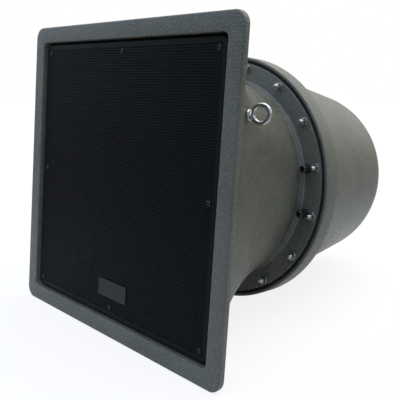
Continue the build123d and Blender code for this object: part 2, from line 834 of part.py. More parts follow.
# Rubber surround: a half roll between two flat lands
roll_middle = cone_radius + surround_roll
surround_front = cone_front - surround_wall
with BuildPart() as woofer_surround:
    with BuildSketch(turning_plane):
        with BuildLine():
            outer = surround_roll
            inner = surround_roll - surround_wall
            Polyline(
                (cone_front, roll_middle - inner),
                (cone_front, cone_radius - cone_glue_width),
                (surround_front, cone_radius - cone_glue_width),
                (surround_front, roll_middle - outer),
            )
            ThreePointArc(
                (surround_front, roll_middle - outer),
                (surround_front - outer + surround_wall, roll_middle),
                (surround_front, roll_middle + outer),
            )
            Polyline(
                (surround_front, roll_middle + outer),
                (surround_front, surround_radius + surround_land),
                (cone_front, surround_radius + surround_land),
                (cone_front, roll_middle + inner),
            )
            ThreePointArc(
                (cone_front, roll_middle + inner),
                (cone_front - inner, roll_middle),
                (cone_front, roll_middle - inner),
            )
        make_face()
    revolve(axis=horn_axis)
woofer_surround.part.label = "woofer_surround"

# Corrugated spider from the coil to the ledge of the frame
wave_width = (spider_radius - spider_land - coil_radius - spider_inner_land) / spider_waves
wave_steps = range(2 * spider_waves + 1)
wave_edges = [coil_radius + spider_inner_land + wave_width * step / 2 for step in wave_steps]
wave_depths = [spider_depth - spider_rise * (step % 2) for step in wave_steps]
with BuildPart() as woofer_spider:
    with BuildSketch(turning_plane):
        with BuildLine():
            front_line = [(spider_depth, coil_radius)] + list(zip(wave_depths, wave_edges))
            front_line.append((spider_depth, spider_radius))
            back_line = [(depth + spider_wall, radius) for depth, radius in reversed(front_line)]
            Polyline(*front_line, *back_line, close=True)
        make_face()
    revolve(axis=horn_axis)
woofer_spider.part.label = "woofer_spider"

# Steel bridge across the throat, which carries the high frequency driver
bridge_front = gasket_back - bridge_thickness
with BuildPart() as driver_bridge:
    with BuildSketch(station(bridge_front)):
        Rectangle(2 * bridge_half, bridge_width)
        with Locations((bridge_screw_side, 0), (-bridge_screw_side, 0)):
            Circle(woofer_screw_radius + slip_clearance, mode=Mode.SUBTRACT)
        with Locations((driver_screw_circle, 0), (-driver_screw_circle, 0)):
            Circle(woofer_screw_radius + slip_clearance, mode=Mode.SUBTRACT)
    extrude(amount=-bridge_thickness)
    fillet(driver_bridge.edges().filter_by(Axis.Y).filter_by(GeomType.LINE), 2 * bridge_thickness)
driver_bridge.part.label = "driver_bridge"

with BuildPart() as bridge_screws:
    with BuildSketch(station(bridge_front)):
        with Locations((bridge_screw_side, 0), (-bridge_screw_side, 0)):
            Circle(woofer_screw_head_radius)
    extrude(amount=woofer_screw_head_height)
    with BuildSketch(station(bridge_front)):
        with Locations((bridge_screw_side, 0), (-bridge_screw_side, 0)):
            Circle(woofer_screw_radius)
    extrude(amount=-(bridge_thickness + bridge_screw_grip))
bridge_screws.part.label = "bridge_screws"

# High frequency driver: cover, magnet and front plate, sealed as one can
cover_front = bridge_front - driver_cover_length
driver_magnet_front = cover_front - driver_magnet_length
driver_front = driver_magnet_front - driver_plate_length
with BuildPart() as hf_driver:
    with BuildSketch(turning_plane):
        with BuildLine():
            Polyline(
                (driver_front, driver_throat_radius),
                (driver_front, driver_plate_radius),
                (driver_magnet_front, driver_plate_radius),
                (driver_magnet_front, driver_magnet_radius),
                (cover_front, driver_magnet_radius),
                (cover_front, driver_cover_radius),
                (bridge_front, driver_cover_radius),
                (bridge_front, 0),
                (cover_front, 0),
                (cover_front, driver_throat_radius / 2),
                close=True,
            )
        make_face()
    revolve(axis=horn_axis)
    with BuildSketch(station(bridge_front)):
        with Locations((driver_screw_circle, 0), (-driver_screw_circle, 0)):
            Circle(woofer_screw_radius + thread_clearance)
    extrude(amount=driver_screw_grip + hole_spare, mode=Mode.SUBTRACT)
    with BuildSketch(station(driver_front)):
        with PolarLocations(hf_screw_circle, hf_screw_count, start_angle=45):
            Circle(woofer_screw_radius + thread_clearance)
    extrude(amount=-(driver_screw_grip + hole_spare), mode=Mode.SUBTRACT)
hf_driver.part.label = "hf_driver"

with BuildPart() as hf_driver_screws:
    with BuildSketch(station(gasket_back)):
        with Locations((driver_screw_circle, 0), (-driver_screw_circle, 0)):
            Circle(woofer_screw_head_radius)
    extrude(amount=-woofer_screw_head_height)
    with BuildSketch(station(gasket_back)):
        with Locations((driver_screw_circle, 0), (-driver_screw_circle, 0)):
            Circle(woofer_screw_radius)
    extrude(amount=bridge_thickness + driver_screw_grip)
hf_driver_screws.part.label = "hf_driver_screws"

# High frequency horn, lofted from the round throat to a square mouth
hf_mouth = driver_front - hf_horn_length
hf_steps = [0.0, 0.25, 0.5, 0.75, 1.0]


def hf_section(step, wall):
    half = driver_throat_radius + (hf_mouth_width / 2 - driver_throat_radius) * (1 - step) ** hf_horn_power
    corner = hf_mouth_corner_radius + (nearly_round * driver_throat_radius - hf_mouth_corner_radius) * step
    RectangleRounded(2 * (half + wall), 2 * (half + wall), corner + wall)


with BuildPart() as hf_horn:
    for step in hf_steps:
        with BuildSketch(station(hf_mouth + hf_horn_length * step)):
            hf_section(step, hf_horn_wall)
    loft()
    with BuildSketch(station(driver_front - hf_flange_thickness)):
        Circle(driver_plate_radius)
    extrude(amount=-hf_flange_thickness)
    with BuildSketch(station(hf_mouth)):
        hf_section(0, hf_mouth_rim)
    extrude(amount=-hf_horn_wall)
    for step in hf_steps:
        with BuildSketch(station(hf_mouth + hf_horn_length * step)):
            hf_section(step, 0)
    loft(mode=Mode.SUBTRACT)
    with BuildSketch(station(driver_front)):
        with PolarLocations(hf_screw_circle, hf_screw_count, start_angle=45):
            Circle(woofer_screw_radius + slip_clearance)
    extrude(amount=hf_flange_thickness, mode=Mode.SUBTRACT)
hf_horn.part.label = "hf_horn"

with BuildPart() as hf_horn_screws:
    with BuildSketch(station(driver_front - hf_flange_thickness)):
        with PolarLocations(hf_screw_circle, hf_screw_count, start_angle=45):
            Circle(woofer_screw_head_radius)
    extrude(amount=woofer_screw_head_height)
    with BuildSketch(station(driver_front - hf_flange_thickness)):
        with PolarLocations(hf_screw_circle, hf_screw_count, start_angle=45):
            Circle(woofer_screw_radius)
    extrude(amount=-(hf_flange_thickness + driver_screw_grip))
hf_horn_screws.part.label = "hf_horn_screws"

# Crossover: board, chokes, capacitors and screws
with BuildPart() as crossover_board:
    with BuildSketch(board_plane):
        Rectangle(board_width, board_length)
        with Locations(*board_holes):
            Circle(board_screw_radius + slip_clearance, mode=Mode.SUBTRACT)
    extrude(amount=board_thickness)
crossover_board.part.label = "crossover_board"

board_top = board_plane.offset(board_thickness)
with BuildPart() as crossover_screws:
    with BuildSketch(board_top):
        with Locations(*board_holes):
            Circle(board_screw_head_radius)
    extrude(amount=board_screw_head_height)
    with BuildSketch(board_top):
        with Locations(*board_holes):
            Circle(board_screw_radius)
    extrude(amount=-(board_thickness + board_screw_grip))
crossover_screws.part.label = "crossover_screws"

with BuildPart() as crossover_chokes:
    with BuildSketch(board_top):
        with Locations((choke_side, 0), (-choke_side, 0)):
            Circle(choke_radius)
            Circle(choke_bore_radius, mode=Mode.SUBTRACT)
    extrude(amount=choke_height)
crossover_chokes.part.label = "crossover_chokes"

capacitor_places = [
    (x * capacitor_side, y * capacitor_row, capacitor_radius) for x in (-1, 1) for y in (-1, 1)
]
with BuildPart() as crossover_capacitors:
    with Locations(board_top):
        with Locations(*capacitor_places):
            Cylinder(capacitor_radius, capacitor_length, rotation=(0, 90, 0))
crossover_capacitors.part.label = "crossover_capacitors"

pieces = [
    mouth_frame,
    horn_shell,
    horn_throat,
    horn_flange,
    grille_panel,
    grille_foam,
    grille_screws,
    badge_plate,
    rear_housing,
    housing_wadding,
    housing_studs,
    stud_washers,
    stud_nuts,
    flange_gasket,
    baffle,
    gland_bodies,
    gland_caps,
    gland_seals,
    eyebolt_right,
    eyebolt_left,
    eyebolt_washers,
    eyebolt_nuts,
    woofer_gasket,
    woofer_frame,
    woofer_screws,
    woofer_top_plate,
    woofer_magnet,
    woofer_pole_plate,
    woofer_cone,
    dust_cap,
    voice_coil,
    woofer_surround,
    woofer_spider,
    driver_bridge,
    bridge_screws,
    hf_driver,
    hf_driver_screws,
    hf_horn,
    hf_horn_screws,
    crossover_board,
    crossover_screws,
    crossover_chokes,
    crossover_capacitors,
]
for piece in pieces:
    export_step(piece.part, "parts/" + piece.part.label + ".step")
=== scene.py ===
import json
import math
import bpy
import bmesh
from mathutils import Euler, Matrix, Vector


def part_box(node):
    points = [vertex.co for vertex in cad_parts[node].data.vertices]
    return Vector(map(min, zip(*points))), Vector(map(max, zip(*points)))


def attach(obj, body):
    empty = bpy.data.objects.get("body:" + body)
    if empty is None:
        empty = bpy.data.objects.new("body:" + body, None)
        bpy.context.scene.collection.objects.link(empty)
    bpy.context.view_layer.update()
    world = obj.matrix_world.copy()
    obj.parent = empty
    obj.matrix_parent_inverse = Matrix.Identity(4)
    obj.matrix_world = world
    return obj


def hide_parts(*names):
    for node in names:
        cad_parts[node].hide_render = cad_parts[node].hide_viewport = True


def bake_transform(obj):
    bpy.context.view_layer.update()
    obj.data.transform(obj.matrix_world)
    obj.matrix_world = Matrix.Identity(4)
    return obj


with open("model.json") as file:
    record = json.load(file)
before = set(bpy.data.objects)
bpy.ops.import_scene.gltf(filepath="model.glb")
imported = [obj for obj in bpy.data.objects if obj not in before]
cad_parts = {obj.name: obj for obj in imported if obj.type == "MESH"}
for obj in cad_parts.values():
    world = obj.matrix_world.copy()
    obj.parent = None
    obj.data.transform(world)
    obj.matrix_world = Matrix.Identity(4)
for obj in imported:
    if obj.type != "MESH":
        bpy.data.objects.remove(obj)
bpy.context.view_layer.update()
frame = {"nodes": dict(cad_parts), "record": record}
mm = 0.001

# Depths run back from the mouth along +Y, radii and heights from the horn axis.
place = {"mouthY": -0.278, "axisZ": 0.225}

print("stage: frame loaded")


class Value:  # one socket of a node, which can stand in a sum
    def __init__(self, surface, socket):
        self.surface = surface
        self.socket = socket

    def sum(self, operation, first, second):
        return self.surface.add("ShaderNodeMath", {"operation": operation}, {0: first, 1: second})

    def __add__(self, other):
        return self.sum("ADD", self, other)

    def __radd__(self, other):
        return self.sum("ADD", other, self)

    def __mul__(self, other):
        return self.sum("MULTIPLY", self, other)

    def __rmul__(self, other):
        return self.sum("MULTIPLY", other, self)


class Surface:  # a material, or the world, and what is added to its nodes
    def __init__(self, owner):
        owner.use_nodes = True
        self.tree = owner.node_tree
        self.tree.nodes.clear()

    def add(self, kind, settings, inputs, output=0):
        node = self.tree.nodes.new(kind)
        for key, setting in settings.items():
            setattr(node, key, setting)
        for key, value in inputs.items():
            if isinstance(value, Value):
                self.tree.links.new(value.socket, node.inputs[key])
            else:
                node.inputs[key].default_value = value
        return Value(self, node.outputs[output]) if node.outputs else None

    def spot(self):
        return self.add("ShaderNodeTexCoord", {}, {}, "Object")

    def noise(self, scale, detail=2.0, rough=0.5, where=None):
        inputs = {"Vector": where or self.spot(), "Scale": scale, "Detail": detail, "Roughness": rough}
        return self.add("ShaderNodeTexNoise", {}, inputs, "Fac")

    def spread(self, value, span, reach=(0.0, 1.0)):
        inputs = {0: value, 1: span[0], 2: span[1], 3: reach[0], 4: reach[1]}
        return self.add("ShaderNodeMapRange", {"clamp": True}, inputs)

    def blend(self, share, first, second):  # sockets 6, 7 and 2 are the colours
        return self.add("ShaderNodeMix", {"data_type": "RGBA"}, {0: share, 6: first, 7: second}, 2)

    def bump(self, height, distance, strength):
        inputs = {"Height": height, "Distance": distance, "Strength": strength}
        return self.add("ShaderNodeBump", {}, inputs)

    def finish(self, inputs):
        shader = self.add("ShaderNodeBsdfPrincipled", {}, inputs)
        self.add("ShaderNodeOutputMaterial", {}, {"Surface": shader})


def tone(red, green, blue):  # a screen colour, 0 to 255, as Blender's linear colour
    def linear(level):
        share = level / 255
        return share / 12.92 if share <= 0.04045 else ((share + 0.055) / 1.055) ** 2.4
    return (linear(red), linear(green), linear(blue), 1.0)


def newSurface(name):
    material = bpy.data.materials.new(name)
    return material, Surface(material)


noiseSpan = (0.3, 0.7)  # where nearly all of a noise lies
cloudRough = 0.6

gelcoatLook = {
    "light": tone(105, 105, 89),
    "dark": tone(79, 79, 68),
    "rough": (0.24, 0.3),
    "ior": 1.4,
    "cloudScale": 14.0,
    "cloudDetail": 4.0,
    "cloudShare": 0.3,
    "fleckScale": 620.0,
    "fleckShare": 0.7,
    "fleckSpan": (0.38, 0.62),
    "pebbleScale": 560.0,
    "pebbleDetail": 1.5,
    "pebbleRough": 0.45,
    "pebbleSpan": (0.38, 0.66),
    "pebbleHeight": 0.0006,
    "pebbleStrength": 0.7,
}


def makeGelcoat():
    look = gelcoatLook
    material, surface = newSurface("gelcoat")
    cloud = surface.noise(look["cloudScale"], look["cloudDetail"], cloudRough)
    fleck = surface.noise(look["fleckScale"], 2.0, cloudRough)
    share = surface.spread(cloud * look["cloudShare"] + fleck * look["fleckShare"], look["fleckSpan"])
    pebble = surface.noise(look["pebbleScale"], look["pebbleDetail"], look["pebbleRough"])
    domes = surface.spread(pebble, look["pebbleSpan"])
    surface.finish({
        "Base Color": surface.blend(share, look["dark"], look["light"]),
        "Roughness": surface.spread(cloud, noiseSpan, look["rough"]),
        "Normal": surface.bump(domes, look["pebbleHeight"], look["pebbleStrength"]),
        "IOR": look["ior"],
    })
    return material


grilleLook = {
    "paint": tone(9, 12, 11),
    "worn": tone(16, 19, 18),
    "rough": (0.4, 0.55),
    "specular": 0.1,
    "dustScale": 40.0,
    "dustDetail": 5.0,
    "dustRough": 0.65,
    "dustSpan": (0.45, 0.75),
    "grainScale": 1500.0,
    "grainHeight": 0.00008,
    "grainStrength": 0.5,
}


def makeGrillePaint():
    look = grilleLook
    material, surface = newSurface("grillePaint")
    dust = surface.noise(look["dustScale"], look["dustDetail"], look["dustRough"])
    share = surface.spread(dust, look["dustSpan"])
    grain = surface.noise(look["grainScale"])
    surface.finish({
        "Base Color": surface.blend(share, look["paint"], look["worn"]),
        "Roughness": surface.spread(dust, noiseSpan, look["rough"]),
        "Normal": surface.bump(grain, look["grainHeight"], look["grainStrength"]),
        "Specular IOR Level": look["specular"],
    })
    return material


zincLook = {
    "bright": tone(196, 198, 196),
    "dull": tone(150, 152, 150),
    "rough": (0.13, 0.24),
    "cloudScale": 260.0,
    "cloudDetail": 3.0,
    "cloudSpan": (0.35, 0.65),
    "grainScale": 1200.0,
    "grainHeight": 0.00006,
    "grainStrength": 0.5,
}


def makeZinc():
    look = zincLook
    material, surface = newSurface("zincPlate")
    cloud = surface.noise(look["cloudScale"], look["cloudDetail"], cloudRough)
    share = surface.spread(cloud, look["cloudSpan"])
    grain = surface.noise(look["grainScale"])
    surface.finish({
        "Base Color": surface.blend(share, look["dull"], look["bright"]),
        "Metallic": 1.0,
        "Roughness": surface.spread(cloud, noiseSpan, look["rough"]),
        "Normal": surface.bump(grain, look["grainHeight"], look["grainStrength"]),
    })
    return material


# Finishes with an even grain, by the slot that wears them
plainLooks = {
    "foam_black": {"name": "foamBlack", "dark": (3, 3, 4), "light": (9, 9, 10), "rough": 0.95,
                   "grain": 900.0, "height": 0.0006},
    "badge_grey": {"name": "badgeFinish", "dark": (17, 16, 15), "light": (24, 22, 21), "rough": 0.62,
                   "grain": 700.0, "height": 0.00004},
    "black_nylon": {"name": "nylonBlack", "dark": (9, 9, 10), "light": (15, 15, 16), "rough": 0.3,
                    "grain": 500.0, "height": 0.00006},
    "black_rubber": {"name": "rubberBlack", "dark": (18, 18, 18), "light": (30, 30, 30), "rough": 0.8,
                     "grain": 700.0, "height": 0.0001},
    "wadding_white": {"name": "waddingWhite", "dark": (190, 190, 184), "light": (228, 228, 222),
                      "rough": 0.98, "grain": 160.0, "height": 0.003, "detail": 6.0},
    "frame_alloy": {"name": "alloyPaint", "dark": (38, 39, 41), "light": (52, 53, 55), "rough": 0.5,
                    "grain": 500.0, "height": 0.0001},
    "plate_steel": {"name": "plateSteel", "dark": (120, 122, 122), "light": (158, 160, 160), "rough": 0.36,
                    "metallic": 1.0, "grain": 300.0, "height": 0.00005},
    "driver_steel": {"name": "driverPaint", "dark": (24, 24, 26), "light": (36, 36, 38), "rough": 0.45,
                     "grain": 500.0, "height": 0.00008},
    "ferrite": {"name": "ferrite", "dark": (40, 40, 42), "light": (58, 58, 60), "rough": 0.7,
                "grain": 400.0, "height": 0.0002},
    "spider_cloth": {"name": "spiderCloth", "dark": (176, 128, 62), "light": (206, 160, 92), "rough": 0.9,
                     "grain": 1100.0, "height": 0.0003},
    "horn_plastic": {"name": "hornPlastic", "dark": (28, 28, 29), "light": (38, 38, 39), "rough": 0.5,
                     "grain": 800.0, "height": 0.0001},
    "board_laminate": {"name": "boardLaminate", "dark": (26, 70, 38), "light": (38, 88, 50), "rough": 0.4,
                       "grain": 300.0, "height": 0.00004},
    "capacitor_film": {"name": "capacitorFilm", "dark": (176, 130, 28), "light": (206, 158, 44),
                       "rough": 0.28, "grain": 200.0, "height": 0.00004},
}


def makePlain(name, dark, light, rough, grain, height, metallic=0.0, detail=3.0):
    roughSwing, strength = 0.06, 0.6
    material, surface = newSurface(name)
    cloud = surface.noise(grain, detail, cloudRough)
    surface.finish({
        "Base Color": surface.blend(surface.spread(cloud, noiseSpan), tone(*dark), tone(*light)),
        "Metallic": metallic,
        "Roughness": surface.spread(cloud, noiseSpan, (rough - roughSwing, rough + roughSwing)),
        "Normal": surface.bump(cloud, height, strength),
    })
    return material


# Finishes whose grain is drawn out one way: wood, pressed paper and wound wire
stretchedLooks = {
    "baffle_wood": {"name": "plywood", "dark": (138, 104, 66), "light": (186, 150, 104), "rough": 0.7,
                    "stretch": (30.0, 400.0, 500.0), "height": 0.0001},
    "cone_paper": {"name": "conePaper", "dark": (30, 30, 31), "light": (46, 46, 47), "rough": 0.85,
                   "stretch": (300.0, 60.0, 300.0), "height": 0.0004},
    "copper_wire": {"name": "copperWire", "dark": (150, 82, 44), "light": (204, 122, 70), "rough": 0.35,
                    "stretch": (60.0, 900.0, 60.0), "height": 0.0002, "metallic": 1.0},
}


def makeStretched(name, dark, light, rough, stretch, height, metallic=0.0):
    roughSwing, strength, detail, span = 0.08, 0.5, 4.0, (0.35, 0.65)
    material, surface = newSurface(name)
    where = surface.add("ShaderNodeMapping", {}, {"Vector": surface.spot(), "Scale": stretch})
    lines = surface.noise(1.0, detail, cloudRough, where)
    surface.finish({
        "Base Color": surface.blend(surface.spread(lines, span), tone(*dark), tone(*light)),
        "Metallic": metallic,
        "Roughness": surface.spread(lines, noiseSpan, (rough - roughSwing, rough + roughSwing)),
        "Normal": surface.bump(lines, height, strength),
    })
    return material


slotFinishes = {"fibreglass": makeGelcoat(), "grille_black": makeGrillePaint(), "zinc_steel": makeZinc()}
for slotName, look in plainLooks.items():
    slotFinishes[slotName] = makePlain(**look)
for slotName, look in stretchedLooks.items():
    slotFinishes[slotName] = makeStretched(**look)
for subpart in frame["record"]["subparts"]:
    node = frame["nodes"][subpart["node"]]
    node.data.materials.clear()
    node.data.materials.append(slotFinishes[subpart["material_slot"]])

print("stage: finishes made")


class Build:  # collects the points and faces of one mesh
    def __init__(self):
        self.verts = []
        self.faces = []

    def ring(self, points):
        start = len(self.verts)
        self.verts.extend(points)
        return list(range(start, start + len(points)))

    def band(self, first, second):
        count = len(first)
        for index in range(count):
            after = (index + 1) % count
            self.faces.append((first[index], first[after], second[after], second[index]))

    def cap(self, ring):
        self.faces.append(tuple(ring))

    def fan(self, ring, middle):
        self.verts.append(middle)
        hub = len(self.verts) - 1
        count = len(ring)
        for index in range(count):
            self.faces.append((ring[index], ring[(index + 1) % count], hub))

    def bands(self, rings, closed=False):
        for first, second in zip(rings, rings[1:]):
            self.band(first, second)
        if closed:
            self.band(rings[-1], rings[0])


def makePiece(name, build, slotName, nodes, sharp=None, body="cabinet"):
    # shaded smooth, and split where faces meet at more than the sharp angle; flat without one
    mesh = bpy.data.meshes.new(name)
    mesh.from_pydata(build.verts, [], build.faces)
    mesh.update()
    shape = bmesh.new()
    shape.from_mesh(mesh)
    bmesh.ops.recalc_face_normals(shape, faces=shape.faces)
    shape.to_mesh(mesh)
    shape.free()
    if sharp:
        mesh.shade_smooth()
        mesh.set_sharp_from_angle(angle=math.radians(sharp))
    mesh.materials.append(slotFinishes[slotName])
    piece = bpy.data.objects.new(name, mesh)
    bpy.context.scene.collection.objects.link(piece)
    if body:
        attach(piece, body)
    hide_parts(*nodes)
    return piece


def atDepth(x, depth, height):  # millimetres from the horn axis to metres in the frame
    return Vector((x * mm, place["mouthY"] + depth * mm, place["axisZ"] + height * mm))


def facing(x, depth, height, direction):
    # a matrix whose +Z looks along the given direction from a point
    turn = Vector(direction).to_track_quat("Z", "Y").to_matrix().to_4x4()
    return Matrix.Translation(atDepth(x, depth, height)) @ turn


def roundedSquare(halfX, halfZ, corner, steps):
    # one eighth at a time, with more points on the corner than on the side
    cornerWeight = 6.0
    eighth = []
    straight = max(halfX - corner, 0.0)
    arcShare = cornerWeight * corner * math.pi / 4
    turn = straight / (straight + arcShare)
    for step in range(steps):
        share = step / steps
        if share < turn:
            eighth.append((1.0, share / turn, 0.0))
        else:
            eighth.append((1.0, 1.0, (share - turn) / (1 - turn) * math.pi / 4))
    eighth.append((1.0, 1.0, math.pi / 4))
    quarter = []
    for along, across, angle in eighth:
        quarter.append((
            (halfX - corner) * along + corner * math.cos(angle),
            (halfZ - corner) * across + corner * math.sin(angle),
        ))
    for along, across, angle in reversed(eighth[:-1]):
        quarter.append((
            (halfX - corner) * across + corner * math.sin(angle),
            (halfZ - corner) * along + corner * math.cos(angle),
        ))
    points = quarter[:-1]
    points += [(-x, z) for x, z in reversed(quarter[1:])]
    points += [(-x, -z) for x, z in quarter[:-1]]
    points += [(x, -z) for x, z in reversed(quarter[1:])]
    return points


def squareRing(build, depth, half, corner, steps, halfZ=None, middle=(0.0, 0.0)):
    outline = roundedSquare(half, halfZ or half, corner, steps)
    return build.ring([atDepth(middle[0] + x, depth, middle[1] + z) for x, z in outline])


def roundCorners(profile, steps=4):
    # profile points are (depth, half, corner, radius), in a closed loop
    longestReach = 0.48  # of the side that a rounding runs into
    cornerGain = 0.4  # how much the plan's corner follows the rounding
    rounded = []
    count = len(profile)
    for index, (depth, half, corner, radius) in enumerate(profile):
        if not radius:
            rounded.append((depth, half, corner))
            continue
        here = Vector((depth, half))
        before = Vector(profile[index - 1][:2]) - here
        after = Vector(profile[(index + 1) % count][:2]) - here
        opening = before.angle(after) / 2
        longest = min(before.length, after.length) * longestReach
        reach = min(radius / math.tan(opening), longest)
        radius = reach * math.tan(opening)
        inward = (before.normalized() + after.normalized()).normalized()
        centre = here + inward * (radius / math.sin(opening))
        first = here + before.normalized() * reach - centre
        last = here + after.normalized() * reach - centre
        sweep = first.angle_signed(last)
        for step in range(steps + 1):
            arm = first.copy()
            arm.rotate(Matrix.Rotation(-sweep * step / steps, 2))
            point = centre + arm
            rounded.append((point.x, point.y, corner + (point.y - half) * cornerGain))
    return rounded


def turned(build, profile, frameMatrix, segments, wave=None):
    # profile points are (along, radius); the matrix carries +Z to the axis
    rings = []
    for along, radius in profile:
        points = []
        for index in range(segments):
            angle = 2 * math.pi * index / segments
            reach = radius * (wave(angle, along) if wave else 1.0)
            spot = Vector((reach * math.cos(angle) * mm, reach * math.sin(angle) * mm, along * mm))
            points.append(frameMatrix @ spot)
        rings.append(build.ring(points))
    build.bands(rings)
    return rings


def arcPoints(centre, radius, start, end, steps):
    points = []
    for step in range(steps + 1):
        angle = math.radians(start + (end - start) * step / steps)
        points.append((centre[0] + radius * math.cos(angle), centre[1] + radius * math.sin(angle)))
    return points


horn = {
    "mouthHalf": 225.0,
    "openingHalf": 200.6,
    "lipThickness": 10.5,
    "lipCorner": 17.0,
    "lipEdge": 2.5,
    "openingCorner": 8.0,
    "ledgeDepth": 18.0,
    "ledgeWidth": 6.6,
    "ledgeCornerGain": 4.0,
    "wall": 6.0,
    "flareLength": 213.8,
    "flarePower": 3.2,
    "flareCorner": 20.0,
    "flareRunIn": 3.0,
    "leastInnerCorner": 10.0,
    "throat": 159.3,
    "flangeThickness": 6.0,
    "flangeRadius": 192.9,
    "flangeFillet": 7.0,
    "filletSteps": 8,
    "flangeStep": 0.8,
    "nearlyRound": 0.999,
    "flareSteps": 44,
    "sideSteps": 22,
}
horn["sideHalf"] = horn["openingHalf"] - horn["ledgeWidth"] + horn["wall"]
horn["flangeDepth"] = horn["ledgeDepth"] + horn["flareLength"]

hornRounding = {
    "flangeBack": 0.8,
    "flangeFront": 1.2,
    "stepEdge": 0.3,
    "stepFoot": 0.35,
    "flareStart": 2.5,
    "collarEdge": 1.5,
    "lipRoot": 2.0,
    "lipBack": 2.5,
    "openingEdge": 1.8,
    "ledgeRoot": 1.5,
    "ledgeEdge": 1.0,
}


def flareShare(depth):
    return max(0.0, (horn["flangeDepth"] - depth) / horn["flareLength"])


def flareHalf(depth):
    return horn["throat"] + (horn["sideHalf"] - horn["throat"]) * flareShare(depth) ** horn["flarePower"]


def flareCorner(depth):
    whole = horn["throat"] * horn["nearlyRound"]
    return whole + (horn["flareCorner"] - whole) * flareShare(depth)


def hornProfile():
    look, edges = horn, hornRounding
    throat, wall, near, rim = look["throat"], look["wall"], look["nearlyRound"], look["flangeRadius"]
    front = look["flangeDepth"]
    back = front + look["flangeThickness"]
    foot = front - look["flangeStep"]
    fillet = look["flangeFillet"]
    inner = throat - wall
    stepHalf = throat + fillet
    collarHalf = look["openingHalf"] + wall
    collarBack = look["ledgeDepth"] + wall
    collarCorner = look["openingCorner"] + wall
    profile = [
        (back, inner, inner * near, edges["flangeBack"]),
        (back, rim, rim * near, edges["flangeBack"]),
        (front, rim, rim * near, edges["flangeFront"]),
        (front, stepHalf, stepHalf * near, edges["stepEdge"]),
        (foot, stepHalf, stepHalf * near, edges["stepFoot"]),
    ]
    for along, half in arcPoints((foot - fillet, stepHalf), fillet, 0, -90, look["filletSteps"])[1:]:
        profile.append((along, half, half * near, 0.0))
    steps = look["flareSteps"]
    for step in range(1, steps):
        depth = foot - fillet + (collarBack + look["flareRunIn"] - foot + fillet) * step / steps
        profile.append((depth, flareHalf(depth), flareCorner(depth), 0.0))
    profile += [
        (collarBack, flareHalf(collarBack), flareCorner(collarBack), edges["flareStart"]),
        (collarBack, collarHalf, collarCorner, edges["collarEdge"]),
        (look["lipThickness"], collarHalf, collarCorner, edges["lipRoot"]),
        (look["lipThickness"], look["mouthHalf"], look["lipCorner"], edges["lipBack"]),
        (0.0, look["mouthHalf"], look["lipCorner"], look["lipEdge"]),
        (0.0, look["openingHalf"], look["openingCorner"], edges["openingEdge"]),
        (look["ledgeDepth"], look["openingHalf"], look["openingCorner"], edges["ledgeRoot"]),
        (look["ledgeDepth"], look["sideHalf"] - wall, look["openingCorner"] + look["ledgeCornerGain"],
         edges["ledgeEdge"]),
    ]
    for step in range(1, steps):
        depth = look["ledgeDepth"] + look["flareLength"] * step / steps
        corner = max(flareCorner(depth) - wall, look["leastInnerCorner"])
        profile.append((depth, flareHalf(depth) - wall, corner, 0.0))
    return profile


screwReach = 184.1
screwPlaces = [(x * screwReach, z * screwReach) for x in (-1, 0, 1) for z in (-1, 0, 1) if x or z]

# Pad and boss rims are (along the bolt, beyond the radius) pairs.
eyeSeatShape = {
    "depth": 76.4,
    "height": 107.1,
    "lean": 16.82,
    "tip": 8.5,
    "padRadius": 8.5,
    "padRise": 0.8,
    "padRim": [(-4.0, 1.2), (-2.0, 0.5), (-0.9, 0.15), (-0.5, 0.0), (0.0, -0.5)],
    "bossRise": 9.0,
    "bossRadius": 11.0,
    "bossRoot": 3.0,
    "bossRim": [(-0.8, 0.0), (0.0, -0.8)],
    "middle": 0.5,
    "segments": 40,
}

# The posts behind the grille, bored for its screws
post = {
    "depth": 6.8,
    "outline": [(-26.0, 6.5), (-0.5, 6.5), (0.0, 6.0), (0.0, 2.1), (-12.0, 2.1)],
    "segments": 20,
}


def eyeDirection(side):  # the way an eyebolt points, which leans back and up
    lean, tip = math.radians(eyeSeatShape["lean"]), math.radians(eyeSeatShape["tip"])
    return Vector((side * math.cos(lean) * math.cos(tip), math.sin(lean) * math.cos(tip), math.sin(tip)))


def eyeSeat(side, lift):
    depth, height = eyeSeatShape["depth"], eyeSeatShape["height"]
    foot = facing(side * flareHalf(depth), depth, height, eyeDirection(side))
    return foot @ Matrix.Translation((0, 0, lift * mm))


def addEyeSeat(build, side):  # a pad outside and a boss inside
    look = eyeSeatShape
    outside = [(along, look["padRadius"] + beyond) for along, beyond in look["padRim"]]
    outside.append((0.0, look["middle"]))
    turned(build, outside, eyeSeat(side, look["padRise"]), look["segments"])
    inside = [(-look["bossRise"] - look["bossRoot"], look["bossRadius"])]
    inside += [(along, look["bossRadius"] + beyond) for along, beyond in look["bossRim"]]
    inside.append((0.0, look["middle"]))
    boss = eyeSeat(side, -horn["wall"] - look["bossRise"]) @ Matrix.Rotation(math.pi, 4, "X")
    turned(build, inside, boss, look["segments"])


def makeHornShell():
    build = Build()
    rings = []
    for depth, half, corner in roundCorners(hornProfile()):
        corner = min(corner, half * horn["nearlyRound"])
        rings.append(squareRing(build, depth, half, corner, horn["sideSteps"]))
    build.bands(rings, closed=True)
    for side in (1, -1):
        addEyeSeat(build, side)
    for x, z in screwPlaces:
        turned(build, post["outline"], facing(x, post["depth"], z, (0, -1, 0)), post["segments"])
    nodes = ["mouth_frame", "horn_shell", "horn_throat", "horn_flange"]
    makePiece("hornShellMoulding", build, "fibreglass", nodes, sharp=50)


makeHornShell()

seam = {
    "radius": 164.2,
    "depth": 230.9,
    "halfWidth": 0.6,
    "rise": 0.5,
    "root": 0.4,
    "arcSteps": 6,
    "segments": 256,
    # The bead is coloured much lighter than the gelcoat, as a painted highlight along the seam.
    "paintedHighlight": {"name": "seamBeadPaintedHighlight", "dark": (130, 132, 128), "light": (168, 170, 166), "rough": 0.3,
              "grain": 500.0, "height": 0.00005},
}


